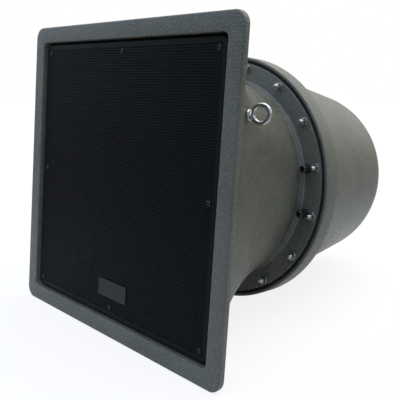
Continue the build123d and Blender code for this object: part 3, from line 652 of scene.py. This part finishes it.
def makeSeam():  # a bead where the flare meets the flange; its light colour is a painted highlight along the seam
    look = seam
    build = Build()
    profile = [(look["root"], look["radius"] + look["halfWidth"])]
    for across, up in arcPoints((0.0, 0.0), 1.0, 0, 180, look["arcSteps"]):
        profile.append((-look["rise"] * up, look["radius"] + look["halfWidth"] * across))
    profile.append((look["root"], look["radius"] - look["halfWidth"]))
    turned(build, profile, facing(0, look["depth"], 0, (0, 1, 0)), look["segments"])
    bead = makePiece("flangeSeamBead", build, "fibreglass", ["horn_flange"], sharp=180)
    # the light bead colour is a painted highlight, not the gelcoat's own colour
    bead.data.materials[0] = makePlain(**look["paintedHighlight"])


makeSeam()
print("stage: horn shell made")

housing = {
    "rimFront": 233.5,
    "rimBack": 263.2,
    "rimRadius": 202.3,
    "rimEdge": 2.0,
    "rebateRadius": 197.5,
    "rebateEdge": 0.8,
    "rebateBevel": 0.24,
    "seatDepth": 252.8,
    "seatRadius": 177.6,
    "seatEdge": 0.6,
    "shoulderRadius": 184.5,
    "shoulderFillet": 4.0,
    "length": 556.0,
    "draft": 8.3,
    "knuckle": 100.0,
    "wall": 3.2,
    "segments": 192,
    "innerSegments": 96,
    "sideSteps": 16,
    "edgeSteps": 6,
    "filletSteps": 8,
    "knuckleSteps": 24,
    "endShares": (0.75, 0.5, 0.25, 0.05),
    "innerEndShares": (0.5, 0.05),
}


def housingOutline(inset):
    look = housing
    lean = math.radians(look["draft"])
    knuckle = look["knuckle"] - inset
    middle = look["length"] - look["knuckle"]
    coneLine = look["shoulderRadius"] - inset / math.cos(lean)
    flat = coneLine - (middle - look["rimBack"]) * math.tan(lean) - knuckle / math.cos(lean)
    return coneLine, arcPoints((middle, flat), knuckle, 90 - look["draft"], 0, look["knuckleSteps"])


def makeHousing():
    look = housing
    build = Build()
    coneLine, outer = housingOutline(0.0)
    innerLine, inner = housingOutline(look["wall"])
    rim, front, back, seat = look["rimRadius"], look["rimFront"], look["rimBack"], look["seatDepth"]
    edge, fillet, rebate = look["rimEdge"], look["shoulderFillet"], look["rebateRadius"]
    profile = [
        (seat, look["seatRadius"]),
        (seat, rebate - look["seatEdge"]),
        (seat - look["seatEdge"], rebate),
        (front + look["rebateEdge"], rebate),
        (front + look["rebateBevel"], rebate + look["rebateBevel"]),
        (front, rebate + look["rebateEdge"]),
    ]
    profile += arcPoints((front + edge, rim - edge), edge, 180, 90, look["edgeSteps"])
    profile += arcPoints((back - edge, rim - edge), edge, 90, 0, look["edgeSteps"])
    shoulder = (back + fillet, coneLine + fillet)
    profile += arcPoints(shoulder, fillet, 180, 270 - look["draft"], look["filletSteps"])
    coneStart, coneEnd = profile[-1], outer[0]
    for step in range(1, look["sideSteps"]):
        share = step / look["sideSteps"]
        profile.append(tuple(a + (b - a) * share for a, b in zip(coneStart, coneEnd)))
    profile += outer
    profile += [(look["length"], outer[-1][1] * share) for share in look["endShares"]]
    axis = facing(0, 0, 0, (0, 1, 0))
    rings = turned(build, profile, axis, look["segments"])
    build.cap(rings[-1])
    inside = [(seat, look["seatRadius"]), (back, look["seatRadius"]), (back, innerLine)]
    inside += inner
    inside += [(look["length"] - look["wall"], inner[-1][1] * share) for share in look["innerEndShares"]]
    rings = turned(build, inside, axis, look["innerSegments"])
    build.cap(rings[-1])
    makePiece("rearHousingMoulding", build, "fibreglass", ["rear_housing"], sharp=50)


makeHousing()
print("stage: rear housing made")

grille = {
    "half": 198.1,
    "faceDepth": 5.5,
    "sheet": 1.2,
    "fold": 3.0,
    "foldSteps": 6,
    "foldMargin": 0.6,
    "corner": 10.0,
    "cornerSteps": 12,
    "fieldHalf": 190.65,
    "fieldCorner": 0.6,
    "pitch": 4.1,
    "columns": 93,
    "rows": 107,
    "holeRadius": 1.32,
    "holeSides": 12,
}


def makeGrilleBorder():
    look = grille
    build = Build()
    half, corner, sheet, field = look["half"], look["corner"], look["sheet"], look["fieldHalf"]
    face, back, fold = look["faceDepth"], horn["ledgeDepth"], look["fold"]
    levels = [(face, field, look["fieldCorner"]), (face, half - fold - look["foldMargin"], corner - fold)]
    for along, reach in arcPoints((face + fold, half - fold), fold, 180, 90, look["foldSteps"]):
        levels.append((along, reach, corner - (half - reach)))
    levels += [
        (back, half, corner),
        (back, half - sheet, corner - sheet),
        (face + fold, half - sheet, corner - sheet),
        (face + sheet, half - fold, corner - fold),
        (face + sheet, field, look["fieldCorner"]),
    ]
    rings = [squareRing(build, depth, reach, turn, look["cornerSteps"]) for depth, reach, turn in levels]
    build.bands(rings, closed=True)
    makePiece("grilleBorder", build, "grille_black", ["grille_panel"], sharp=50)


def makeGrilleField(name, columnsFrom, columnsTo, rowsFrom, rowsTo):
    # each hole is cut from a six-sided cell; odd rows are half a pitch over
    pitch, half, sides = grille["pitch"], grille["fieldHalf"], grille["holeSides"]
    rowPitch = 2 * half / (grille["rows"] + 1 / 3)
    edge = rowPitch / 1.5
    cell = [(0.0, edge), (-pitch / 2, edge / 2), (-pitch / 2, -edge / 2)]
    cell += [(-x, -z) for x, z in cell]
    hole = []
    for side in range(sides):
        angle = math.pi / 2 + 2 * math.pi * side / sides
        hole.append((grille["holeRadius"] * math.cos(angle), grille["holeRadius"] * math.sin(angle)))
    front, back = grille["faceDepth"], grille["faceDepth"] + grille["sheet"]
    build = Build()

    def around(x, z, depth, outline):
        return build.ring([atDepth(x + dx, depth, z + dz) for dx, dz in outline])

    def plate(outline):
        build.cap(around(0.0, 0.0, front, outline))

    def addHole(x, z):
        outer = around(x, z, front, cell)
        rimFront, rimBack = around(x, z, front, hole), around(x, z, back, hole)
        for corner in range(len(cell)):
            a, b = outer[corner], outer[(corner + 1) % len(cell)]
            h0, h1, h2 = (rimFront[(2 * corner + step) % sides] for step in range(3))
            build.faces += [(a, h0, h1), (a, h1, b), (b, h1, h2)]
        build.band(rimFront, rimBack)

    for row in range(rowsFrom, rowsTo):
        z = -half + edge + row * rowPitch
        odd = row % 2
        for column in range(columnsFrom, min(columnsTo, grille["columns"] - odd)):
            addHole(-half + pitch * (column + 0.5 + odd / 2), z)
        sidesHere = [(1, columnsTo >= grille["columns"]), (-1, columnsFrom == 0)]
        if odd:  # straight ends for the shorter rows
            for side, here in sidesHere:
                if here:
                    outer, inner = side * half, side * (half - pitch / 2)
                    upright = [(outer, z - edge), (outer, z + edge)]
                    plate(upright + [(inner, z + edge / 2), (inner, z - edge / 2)])
        for end, last in ((-1, row == 0), (1, row == grille["rows"] - 1)):
            if last:  # straight top and bottom
                tip, root = z + end * edge, z + end * edge / 2
                for column in range(columnsFrom, min(columnsTo, grille["columns"] - 1)):
                    x = -half + pitch * (column + 1)
                    plate([(x - pitch / 2, tip), (x + pitch / 2, tip), (x, root)])
                for side, here in sidesHere:
                    if here:
                        x = side * half
                        plate([(x, tip), (x, root), (x - side * pitch / 2, tip)])
    makePiece(name, build, "grille_black", ["grille_panel"])


halfColumns, halfRows = (grille["columns"] + 1) // 2, (grille["rows"] + 1) // 2
makeGrilleBorder()
makeGrilleField("grilleFieldLowLeft", 0, halfColumns, 0, halfRows)
makeGrilleField("grilleFieldLowRight", halfColumns, grille["columns"], 0, halfRows)
makeGrilleField("grilleFieldHighLeft", 0, halfColumns, halfRows, grille["rows"])
makeGrilleField("grilleFieldHighRight", halfColumns, grille["columns"], halfRows, grille["rows"])
print("stage: grille made")

grilleScrew = {
    "headRadius": 3.8,
    "headHeight": 2.2,
    "headEdge": 0.35,
    "headRoundness": 0.9,
    "crownSteps": 13,
    "segments": 48,
    "slotHalf": 0.45,
    "slotReach": 2.3,
    "slotDepth": 1.1,
    "slotFrom": 0.5,
    "paint": {"name": "screwBlack", "dark": (18, 18, 20), "light": (34, 35, 37), "rough": 0.4,
              "metallic": 0.3, "grain": 300.0, "height": 0.00005},
}


def makeGrilleScrews():
    look = grilleScrew
    build = Build()
    edge, high, steps = look["headEdge"], look["headHeight"], look["crownSteps"]
    crown = [(0.0, look["headRadius"]), (edge, look["headRadius"])]
    for step in range(1, steps):
        angle = math.radians(90 * step / steps)
        radius = look["headRadius"] * math.cos(angle) ** look["headRoundness"]
        crown.append((edge + (high - edge) * math.sin(angle), radius))
    for x, z in screwPlaces:
        seat = facing(x, grille["faceDepth"], z, (0, -1, 0))
        first = len(build.verts)
        rings = turned(build, crown, seat, look["segments"])
        build.fan(rings[-1], seat @ Vector((0, 0, high * mm)))
        back = seat.inverted()
        for index in range(first, len(build.verts)):  # the cross in the head
            spot = back @ build.verts[index]
            across, along = sorted((abs(spot.x), abs(spot.y)))
            inSlot = across < look["slotHalf"] * mm and along < look["slotReach"] * mm
            if inSlot and spot.z > high * mm * look["slotFrom"]:
                spot.z -= look["slotDepth"] * mm
                build.verts[index] = seat @ spot
    screws = makePiece("grilleScrewHeads", build, "zinc_steel", ["grille_screws"], sharp=40)
    screws.data.materials[0] = makePlain(**look["paint"])


makeGrilleScrews()

badge = {
    "side": 4.0,
    "drop": 157.0,
    "halfWidth": 32.25,
    "halfHeight": 12.5,
    "corner": 3.0,
    "leastCorner": 0.8,
    "cornerSteps": 6,
    "thickness": 1.2,
    "edge": 0.3,
    "bevel": 0.09,
    "border": 1.3,
    "lift": 0.3,
    "liftRun": 2.0,
}


def makeBadge():
    look = badge
    build = Build()
    top = grille["faceDepth"] - look["thickness"]
    raised = top + look["lift"]
    levels = [
        (grille["faceDepth"], 0.0),
        (top + look["edge"], 0.0),
        (top + look["bevel"], look["bevel"]),
        (top, look["edge"]),
        (top, look["border"]),
        (raised, look["border"] + look["lift"]),
        (raised, look["border"] + look["liftRun"]),
    ]
    middle = (look["side"], -look["drop"])
    rings = []
    for depth, inset in levels:
        corner = max(look["corner"] - inset, look["leastCorner"])
        wide, high = look["halfWidth"] - inset, look["halfHeight"] - inset
        rings.append(squareRing(build, depth, wide, corner, look["cornerSteps"], high, middle))
    build.bands(rings)
    build.cap(rings[-1])
    makePiece("badgePlateBare", build, "badge_grey", ["badge_plate"], sharp=40)


makeBadge()
print("stage: grille trim made")

flange = {
    "studCircle": 184.9,
    "studCount": 16,
    "nutTwist": 0.7,
    "washerRadius": 6.0,
    "washerBore": 3.1,
    "washerThickness": 1.6,
    "washerEdge": 0.25,
    "washerFootInset": 0.2,
    "washerTopInset": 0.3,
    "washerSegments": 40,
    "nutFlats": 10.0,
    "nutHeight": 5.0,
    "nutClearance": 0.05,
    "studRadius": 3.0,
    "studRoot": 8.0,
    "studTail": 5.4,
    "threadRunIn": 1.0,
    "studSegments": 24,
}


def studPlaces():
    step = 360 / flange["studCount"]
    for index in range(flange["studCount"]):
        angle = math.radians(step * (index + 0.5))
        yield flange["studCircle"] * math.cos(angle), flange["studCircle"] * math.sin(angle), index


def hexRadius(angle, flats):
    wedge = math.pi / 3
    return flats / 2 / math.cos((angle + wedge / 2) % wedge - wedge / 2)


def addNut(build, seat, flats, height, bore, crown=0.48):
    # both ends are chamfered, so the corners of the six sides are rounded off
    segments, chamferSlope, boreEdge, boreFloor = 48, 0.55, 0.5, 0.4
    chamferRadius = flats * crown
    angles = [2 * math.pi * k / segments for k in range(segments)]
    reach = [hexRadius(angle, flats) for angle in angles]
    drop = [max(0.0, (r - chamferRadius) * chamferSlope) for r in reach]

    def level(radii, heights):
        spots = []
        for r, a, h in zip(radii, angles, heights):
            spots.append(seat @ Vector((r * math.cos(a) * mm, r * math.sin(a) * mm, h * mm)))
        return build.ring(spots)

    def flatLevel(radius, high):
        return level([radius] * segments, [high] * segments)

    rings = [
        flatLevel(bore, 0.0),
        flatLevel(chamferRadius, 0.0),
        level(reach, drop),
        level(reach, [height - d for d in drop]),
        flatLevel(chamferRadius, height),
        flatLevel(bore + boreEdge, height),
        flatLevel(bore, height - boreEdge),
        flatLevel(bore, height * boreFloor),
    ]
    build.bands(rings)


# The crest is a share of the pitch, and the tip is (from the end, beyond the radius) pairs.
thread = {
    "pitch": 1.0,
    "tooth": 0.28,
    "crest": (0.4, 0.6),
    "tip": [(-0.6, -0.3), (0.0, -0.9)],
    "middle": 0.05,
}


def threadProfile(start, end, radius):
    pitch, root = thread["pitch"], radius - thread["tooth"]
    profile = []
    turns = int((end - start) / pitch)
    for index in range(turns):
        along = start + pitch * index
        profile.append((along, root))
        profile += [(along + pitch * share, radius) for share in thread["crest"]]
    profile.append((start + turns * pitch, root))
    profile += [(end + along, radius + beyond) for along, beyond in thread["tip"]]
    profile.append((end, thread["middle"]))
    return profile


def makeFlangeHardware():
    washers, nuts, studs = Build(), Build(), Build()
    look = flange
    thick, high = look["washerThickness"], look["nutHeight"]
    radius, edge = look["washerRadius"], look["washerEdge"]
    washer = [
        (0.0, look["washerBore"]),
        (0.0, radius - look["washerFootInset"]),
        (edge, radius),
        (thick - edge, radius),
        (thick, radius - look["washerTopInset"]),
        (thick, look["washerBore"]),
    ]
    threadStart, end = thick + high - look["threadRunIn"], thick + high + look["studTail"]
    stud = [(-look["studRoot"], look["studRadius"]), (threadStart, look["studRadius"])]
    stud += threadProfile(threadStart, end, look["studRadius"])
    bore = look["studRadius"] + look["nutClearance"]
    for x, z, index in studPlaces():
        twist = Matrix.Rotation(look["nutTwist"] * index, 4, "Z")
        seat = facing(x, horn["flangeDepth"], z, (0, -1, 0)) @ twist
        turned(washers, washer, seat, look["washerSegments"])
        addNut(nuts, seat @ Matrix.Translation((0, 0, thick * mm)), look["nutFlats"], high, bore)
        turned(studs, stud, seat, look["studSegments"])
    makePiece("flangeWashers", washers, "zinc_steel", ["stud_washers"], sharp=30)
    makePiece("flangeNuts", nuts, "zinc_steel", ["stud_nuts"], sharp=30)
    makePiece("flangeStuds", studs, "zinc_steel", ["housing_studs"], sharp=50)


makeFlangeHardware()

gland = {
    "circle": 172.3,
    "angle": 11.25,
    "hexFlats": 12.0,
    "hexHeight": 6.0,
    "hexBore": 4.2,
    "hexCrown": 0.49,
    "capRadius": 5.7,
    "capHeight": 11.3,
    "capEdge": 0.3,
    "capSegments": 80,
    "crownHeight": 3.2,
    "crownTurn": 10,
    "bore": 3.4,
    "boreEdge": 0.4,
    "boreDepth": 5.0,
    "flutes": 10,
    "fluteDepth": 0.045,
    "fluteFrom": 0.8,
    "fluteTo": 3.4,
    "fluteStart": (0.7, 0.9),
    "fluteEnd": (3.6, 3.3),
    "sealRadius": 3.35,
    "sealLip": (2.9, 2.4),
    "sealBore": 2.0,
    "sealDrop": 1.9,
    "sealEdge": 0.5,
    "sealSegments": 32,
}


def capProfile(top):
    look = gland
    foot, radius, bore = look["hexHeight"], look["capRadius"], look["bore"] + look["boreEdge"]
    profile = [(foot, look["bore"]), (foot, radius - look["capEdge"]), (foot + look["capEdge"], radius)]
    profile += [(foot + along, radius) for along in look["fluteStart"]]
    profile += [(top - along, radius) for along in look["fluteEnd"]]
    for degrees in range(look["crownTurn"], 91, look["crownTurn"]):
        angle = math.radians(degrees)
        along = top - look["crownHeight"] + look["crownHeight"] * math.sin(angle)
        profile.append((along, bore + (radius - bore) * math.cos(angle)))
    profile += [(top - look["capEdge"], look["bore"]), (top - look["boreDepth"], look["bore"])]
    return profile


def makeGlands():
    look = gland
    bodies, caps, seals = Build(), Build(), Build()
    top = look["hexHeight"] + look["capHeight"]

    def grip(turn, along):  # the flutes on the cap
        ribbed = look["hexHeight"] + look["fluteFrom"] < along < top - look["fluteTo"]
        depth = look["fluteDepth"] if ribbed else 0.0
        return 1.0 - depth * (0.5 - 0.5 * math.cos(look["flutes"] * turn))

    edge, sealTop, lip = look["sealEdge"], top - look["sealDrop"], look["sealLip"]
    seal = [(edge, look["sealRadius"]), (sealTop - edge, look["sealRadius"])]
    seal += [(sealTop, lip[0]), (sealTop, lip[1])]
    seal += [(sealTop - edge, look["sealBore"]), (edge, look["sealBore"])]
    for side in (1, -1):
        angle = math.radians(look["angle"]) * side
        x, z = look["circle"] * math.cos(angle), look["circle"] * math.sin(angle)
        seat = facing(x, horn["flangeDepth"], z, (0, -1, 0)) @ Matrix.Rotation(angle, 4, "Z")
        addNut(bodies, seat, look["hexFlats"], look["hexHeight"], look["hexBore"], look["hexCrown"])
        turned(caps, capProfile(top), seat, look["capSegments"], grip)
        turned(seals, seal, seat, look["sealSegments"])
    makePiece("glandBodies", bodies, "black_nylon", ["gland_bodies"], sharp=30)
    makePiece("glandCaps", caps, "black_nylon", ["gland_caps"], sharp=50)
    makePiece("glandSeals", seals, "black_rubber", ["gland_seals"], sharp=50)


makeGlands()

# Collar and neck are (along from the collar's foot or top, beyond the collar or the wire) pairs.
eyebolt = {
    "shankRadius": 3.0,
    "shankLength": 20.0,
    "collarRadius": 7.9,
    "collarThickness": 3.4,
    "collarFoot": [(0.0, -0.4), (0.3, -0.1), (0.7, 0.0)],
    "collarTop": [(-0.9, 0.0), (-0.3, -0.35), (0.0, -1.1)],
    "neck": [(0.1, 1.7), (0.4, 0.9), (1.2, 0.35)],
    "reach": 14.7,
    "ringRadius": 11.55,
    "wireRadius": 2.95,
    "segments": 48,
    "ringSteps": 96,
    "wireSteps": 28,
}


def makeEyebolt(side, name, node):
    look = eyebolt
    build = Build()
    seat = eyeSeat(side, eyeSeatShape["padRise"])
    collar, top, wire = look["collarRadius"], look["collarThickness"], look["wireRadius"]
    profile = [(-look["shankLength"], look["shankRadius"]), (0.0, look["shankRadius"])]
    profile += [(along, collar + beyond) for along, beyond in look["collarFoot"]]
    profile += [(top + along, collar + beyond) for along, beyond in look["collarTop"]]
    profile += [(top + along, wire + beyond) for along, beyond in look["neck"]]
    profile.append((top + look["reach"] - look["ringRadius"], wire))
    turned(build, profile, seat, look["segments"])
    outward = eyeDirection(side)
    across = Vector((outward.y, -outward.x, 0)).normalized()
    up = outward.cross(across)
    middle = seat @ Vector((0, 0, (top + look["reach"]) * mm))
    rings = []
    for step in range(look["ringSteps"]):
        angle = 2 * math.pi * step / look["ringSteps"]
        out = outward * math.cos(angle) + up * math.sin(angle)
        points = []
        for spoke in range(look["wireSteps"]):
            turn = 2 * math.pi * spoke / look["wireSteps"]
            arm = (look["ringRadius"] + wire * math.cos(turn)) * mm
            points.append(middle + out * arm + across * (wire * math.sin(turn) * mm))
        rings.append(build.ring(points))
    build.bands(rings, closed=True)
    makePiece(name, build, "zinc_steel", [node], sharp=45)


makeEyebolt(1, "eyeboltRight", "eyebolt_right")
makeEyebolt(-1, "eyeboltLeft", "eyebolt_left")
print("stage: hardware made")

# Both soft rings of the woofer, in metres
softRing = {"sectors": 24, "steps": 4}
surround = {
    "roll": 0.006,
    "wall": 0.001,
    "land": 0.0075,
    "glue": 0.005,
    "arcSteps": 12,
}
spider = {
    "wall": 0.001,
    "rise": 0.002,
    "waves": 4,
    "waveSteps": 8,
    "coilRadius": 0.0254,
    "outerLand": 0.006,
    "innerLand": 0.004,
}


def makeSoftRing(name, node, slotName, outline, still, moving):
    # the ring is built as separate sectors; it reaches the frame beyond the still radius and the cone
    # within the moving one
    low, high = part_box(node)
    middleX, middleZ = (low[0] + high[0]) / 2, (low[2] + high[2]) / 2
    sectors, steps = softRing["sectors"], softRing["steps"]
    turn = 2 * math.pi / sectors

    def spot(radius, depth, angle):
        return (middleX + radius * math.cos(angle), depth, middleZ + radius * math.sin(angle))

    for sector in range(sectors):
        build = Build()
        rings = []
        for step in range(steps + 1):
            angle = turn * (sector + step / steps)
            rings.append(build.ring([spot(radius, depth, angle) for depth, radius in outline]))
        build.bands(rings)
        build.cap(rings[0])
        build.cap(rings[-1])
        piece = makePiece(f"{name}{sector}", build, slotName, [node], sharp=50, body=None)
        middle = turn * (sector + 0.5)
        start = spot(still * math.cos(turn / 2), high[1], middle)
        spot(moving, high[1], middle)
        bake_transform(piece)


def makeSurround():
    look = surround
    low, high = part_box("woofer_surround")
    edge = (high[0] - low[0]) / 2
    back, front = high[1], high[1] - look["wall"]
    foot = edge - look["land"]
    middle, coneEdge = foot - look["roll"], foot - 2 * look["roll"]
    inner = look["roll"] - look["wall"]
    turns = [math.pi * step / look["arcSteps"] for step in range(look["arcSteps"] + 1)]
    outline = [(back, coneEdge - look["glue"]), (front, coneEdge - look["glue"])]
    for turn in turns:
        outline.append((front - inner * math.sin(turn), middle - look["roll"] * math.cos(turn)))
    outline += [(front, edge), (back, edge)]
    outline += [(back - inner * math.sin(turn), middle + inner * math.cos(turn)) for turn in turns]
    makeSoftRing("surroundSector", "woofer_surround", "black_rubber", outline, foot, coneEdge)


def makeSpider():
    look = spider
    low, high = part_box("woofer_spider")
    edge = (high[0] - low[0]) / 2
    flat = high[1] - look["wall"]
    still, moving = edge - look["outerLand"], look["coilRadius"] + look["innerLand"]
    samples = look["waves"] * look["waveSteps"]
    line = [(flat, look["coilRadius"])]
    for sample in range(samples + 1):
        lift = 0.5 - 0.5 * math.cos(2 * math.pi * sample / look["waveSteps"])
        line.append((flat - look["rise"] * lift, moving + (still - moving) * sample / samples))
    line.append((flat, edge))
    outline = line + [(depth + look["wall"], radius) for depth, radius in reversed(line)]
    makeSoftRing("spiderSector", "woofer_spider", "spider_cloth", outline, still, moving)


makeSurround()
makeSpider()
print("stage: woofer rings made")

# The speaker rests on the lip and on the rim behind it, so the floor leans to touch both.
floorLook = {
    "lipContact": 5.0,
    "rimContact": 261.0,
    "gap": 0.2,
    "size": 6.0,
    # near and far are the floor's diffuse tones of a painted pool of light: light grey at the pool's
    # middle, dark grey further off
    "near": (0.66, 0.66, 0.66, 1.0),
    "far": (0.12, 0.12, 0.12, 1.0),
    "paintedLightPool": (0.55, 1.2),
    "paintedPoolMiddle": (-0.3, 0.2, 0.0),
    "glow": 1.06,
    "glowSpan": (0.5, 1.5),
    "glowShare": (0.8, 1.0),
}
plainWhite = (1.0, 1.0, 1.0, 1.0)
glossShare = 0.35  # how much of the white background shows in gloss


def seenWhite(surface):
    camera = surface.add("ShaderNodeLightPath", {}, {}, "Is Camera Ray")
    gloss = surface.add("ShaderNodeLightPath", {}, {}, "Is Glossy Ray")
    through = surface.add("ShaderNodeLightPath", {}, {}, "Is Transmission Ray")
    return camera + through + gloss * glossShare


def makeFloor():
    look = floorLook
    size = look["size"]
    build = Build()
    corners = ((-1, -1), (1, -1), (1, 1), (-1, 1))
    build.cap(build.ring([Vector((x * size, y * size, 0)) for x, y in corners]))
    mesh = bpy.data.meshes.new("floor")
    mesh.from_pydata(build.verts, [], build.faces)
    floor = bpy.data.objects.new("floor", mesh)
    run = look["rimContact"] - look["lipContact"]
    lean = Matrix.Rotation(math.atan2(horn["mouthHalf"] - housing["rimRadius"], run), 4, "X")
    under = atDepth(0, look["lipContact"], -horn["mouthHalf"] - look["gap"])
    floor.matrix_world = Matrix.Translation(under) @ lean
    bpy.context.scene.collection.objects.link(floor)
    material, surface = newSurface("floorPaper")
    # The floor's diffuse colour is a painted pool of light, darkening with distance from the pool's
    # middle.
    fromPaintedPool = {0: surface.spot(), 1: look["paintedPoolMiddle"]}
    around = surface.add("ShaderNodeVectorMath", {"operation": "DISTANCE"}, fromPaintedPool, "Value")
    paintedPoolTone = surface.blend(surface.spread(around, look["paintedLightPool"]), look["near"], look["far"])
    paper = surface.add("ShaderNodeBsdfDiffuse", {}, {"Color": paintedPoolTone})
    glow = surface.add("ShaderNodeEmission", {}, {"Color": plainWhite, "Strength": look["glow"]})
    far = surface.add("ShaderNodeVectorMath", {"operation": "LENGTH"}, {0: surface.spot()}, "Value")
    share = surface.spread(far, look["glowSpan"], look["glowShare"])
    mixed = surface.add("ShaderNodeMixShader", {}, {0: seenWhite(surface) * share, 1: paper, 2: glow})
    surface.add("ShaderNodeOutputMaterial", {}, {"Surface": mixed})
    mesh.materials.append(material)


makeFloor()

worldLook = {
    "low": (0.02, 0.02, 0.02, 1.0),
    "front": (0.76, 1.0, 1.62, 1.0),
    "rear": (1.0, 1.0, 0.96, 1.0),
    "rise": (0.08, 0.36),
    "turn": (-0.4, 0.4),
    "strength": 0.88,
}


def makeWorld():
    look = worldLook
    world = bpy.data.worlds.new("studio")
    bpy.context.scene.world = world
    surface = Surface(world)
    where = surface.add("ShaderNodeTexCoord", {}, {}, "Generated")
    along = surface.add("ShaderNodeSeparateXYZ", {}, {0: where}, "Y")
    height = surface.add("ShaderNodeSeparateXYZ", {}, {0: where}, "Z")
    walls = surface.blend(surface.spread(along, look["turn"]), look["front"], look["rear"])
    sky = surface.blend(surface.spread(height, look["rise"]), look["low"], walls)
    around = surface.add("ShaderNodeBackground", {}, {"Color": sky, "Strength": look["strength"]})
    white = surface.add("ShaderNodeBackground", {}, {"Color": plainWhite, "Strength": 1.0})
    mixed = surface.add("ShaderNodeMixShader", {}, {0: seenWhite(surface), 1: around, 2: white})
    surface.add("ShaderNodeOutputWorld", {}, {"Surface": mixed})


makeWorld()

lampAim = (0.0, 0.0, 0.2)
lamps = {
    "overhead": {"at": (0.5, 0.3, 2.4), "size": 2.2, "power": 38.0, "color": (1.0, 0.99, 0.96)},
    "frontTop": {"at": (-0.3, -1.3, 2.4), "size": 1.4, "power": 7.0, "color": (0.82, 0.92, 1.0)},
    "rearSoft": {"at": (0.4, 2.4, 1.7), "size": 2.0, "power": 6.0, "color": (1.0, 0.99, 0.96)},
    "leftWall": {"at": (-2.1, -1.2, 0.9), "size": 1.6, "power": 4.0, "color": (0.78, 0.9, 1.0)},
}


def makeLamps():
    for name, look in lamps.items():
        data = bpy.data.lights.new(name, "AREA")
        data.shape = "DISK"
        data.size = look["size"]
        data.energy = look["power"]
        data.color = look["color"]
        lamp = bpy.data.objects.new(name, data)
        lamp.location = look["at"]
        lamp.rotation_euler = (Vector(lampAim) - lamp.location).to_track_quat("-Z", "Y").to_euler()
        bpy.context.scene.collection.objects.link(lamp)


makeLamps()

view = {
    "at": (0.64507, -0.76163, 0.33643),
    "turn": (83.8187, -3.7455, 44.8494),
    "focal": 569.97,
    "imageSide": 400.0,
    "middleRow": 170.58,
    "sensor": 36.0,
    "clipStart": 0.01,
}


def makeCamera():
    look = view
    data = bpy.data.cameras.new("photoView")
    data.sensor_width = look["sensor"]
    data.lens = look["focal"] / look["imageSide"] * look["sensor"]
    data.shift_y = (look["middleRow"] - look["imageSide"] / 2) / look["imageSide"]
    data.clip_start = look["clipStart"]
    camera = bpy.data.objects.new("photoView", data)
    camera.location = look["at"]
    camera.rotation_euler = Euler([math.radians(angle) for angle in look["turn"]])
    bpy.context.scene.collection.objects.link(camera)
    bpy.context.scene.camera = camera


makeCamera()
bpy.context.scene.view_settings.view_transform = "Standard"
print("stage: floor, lights and camera made")
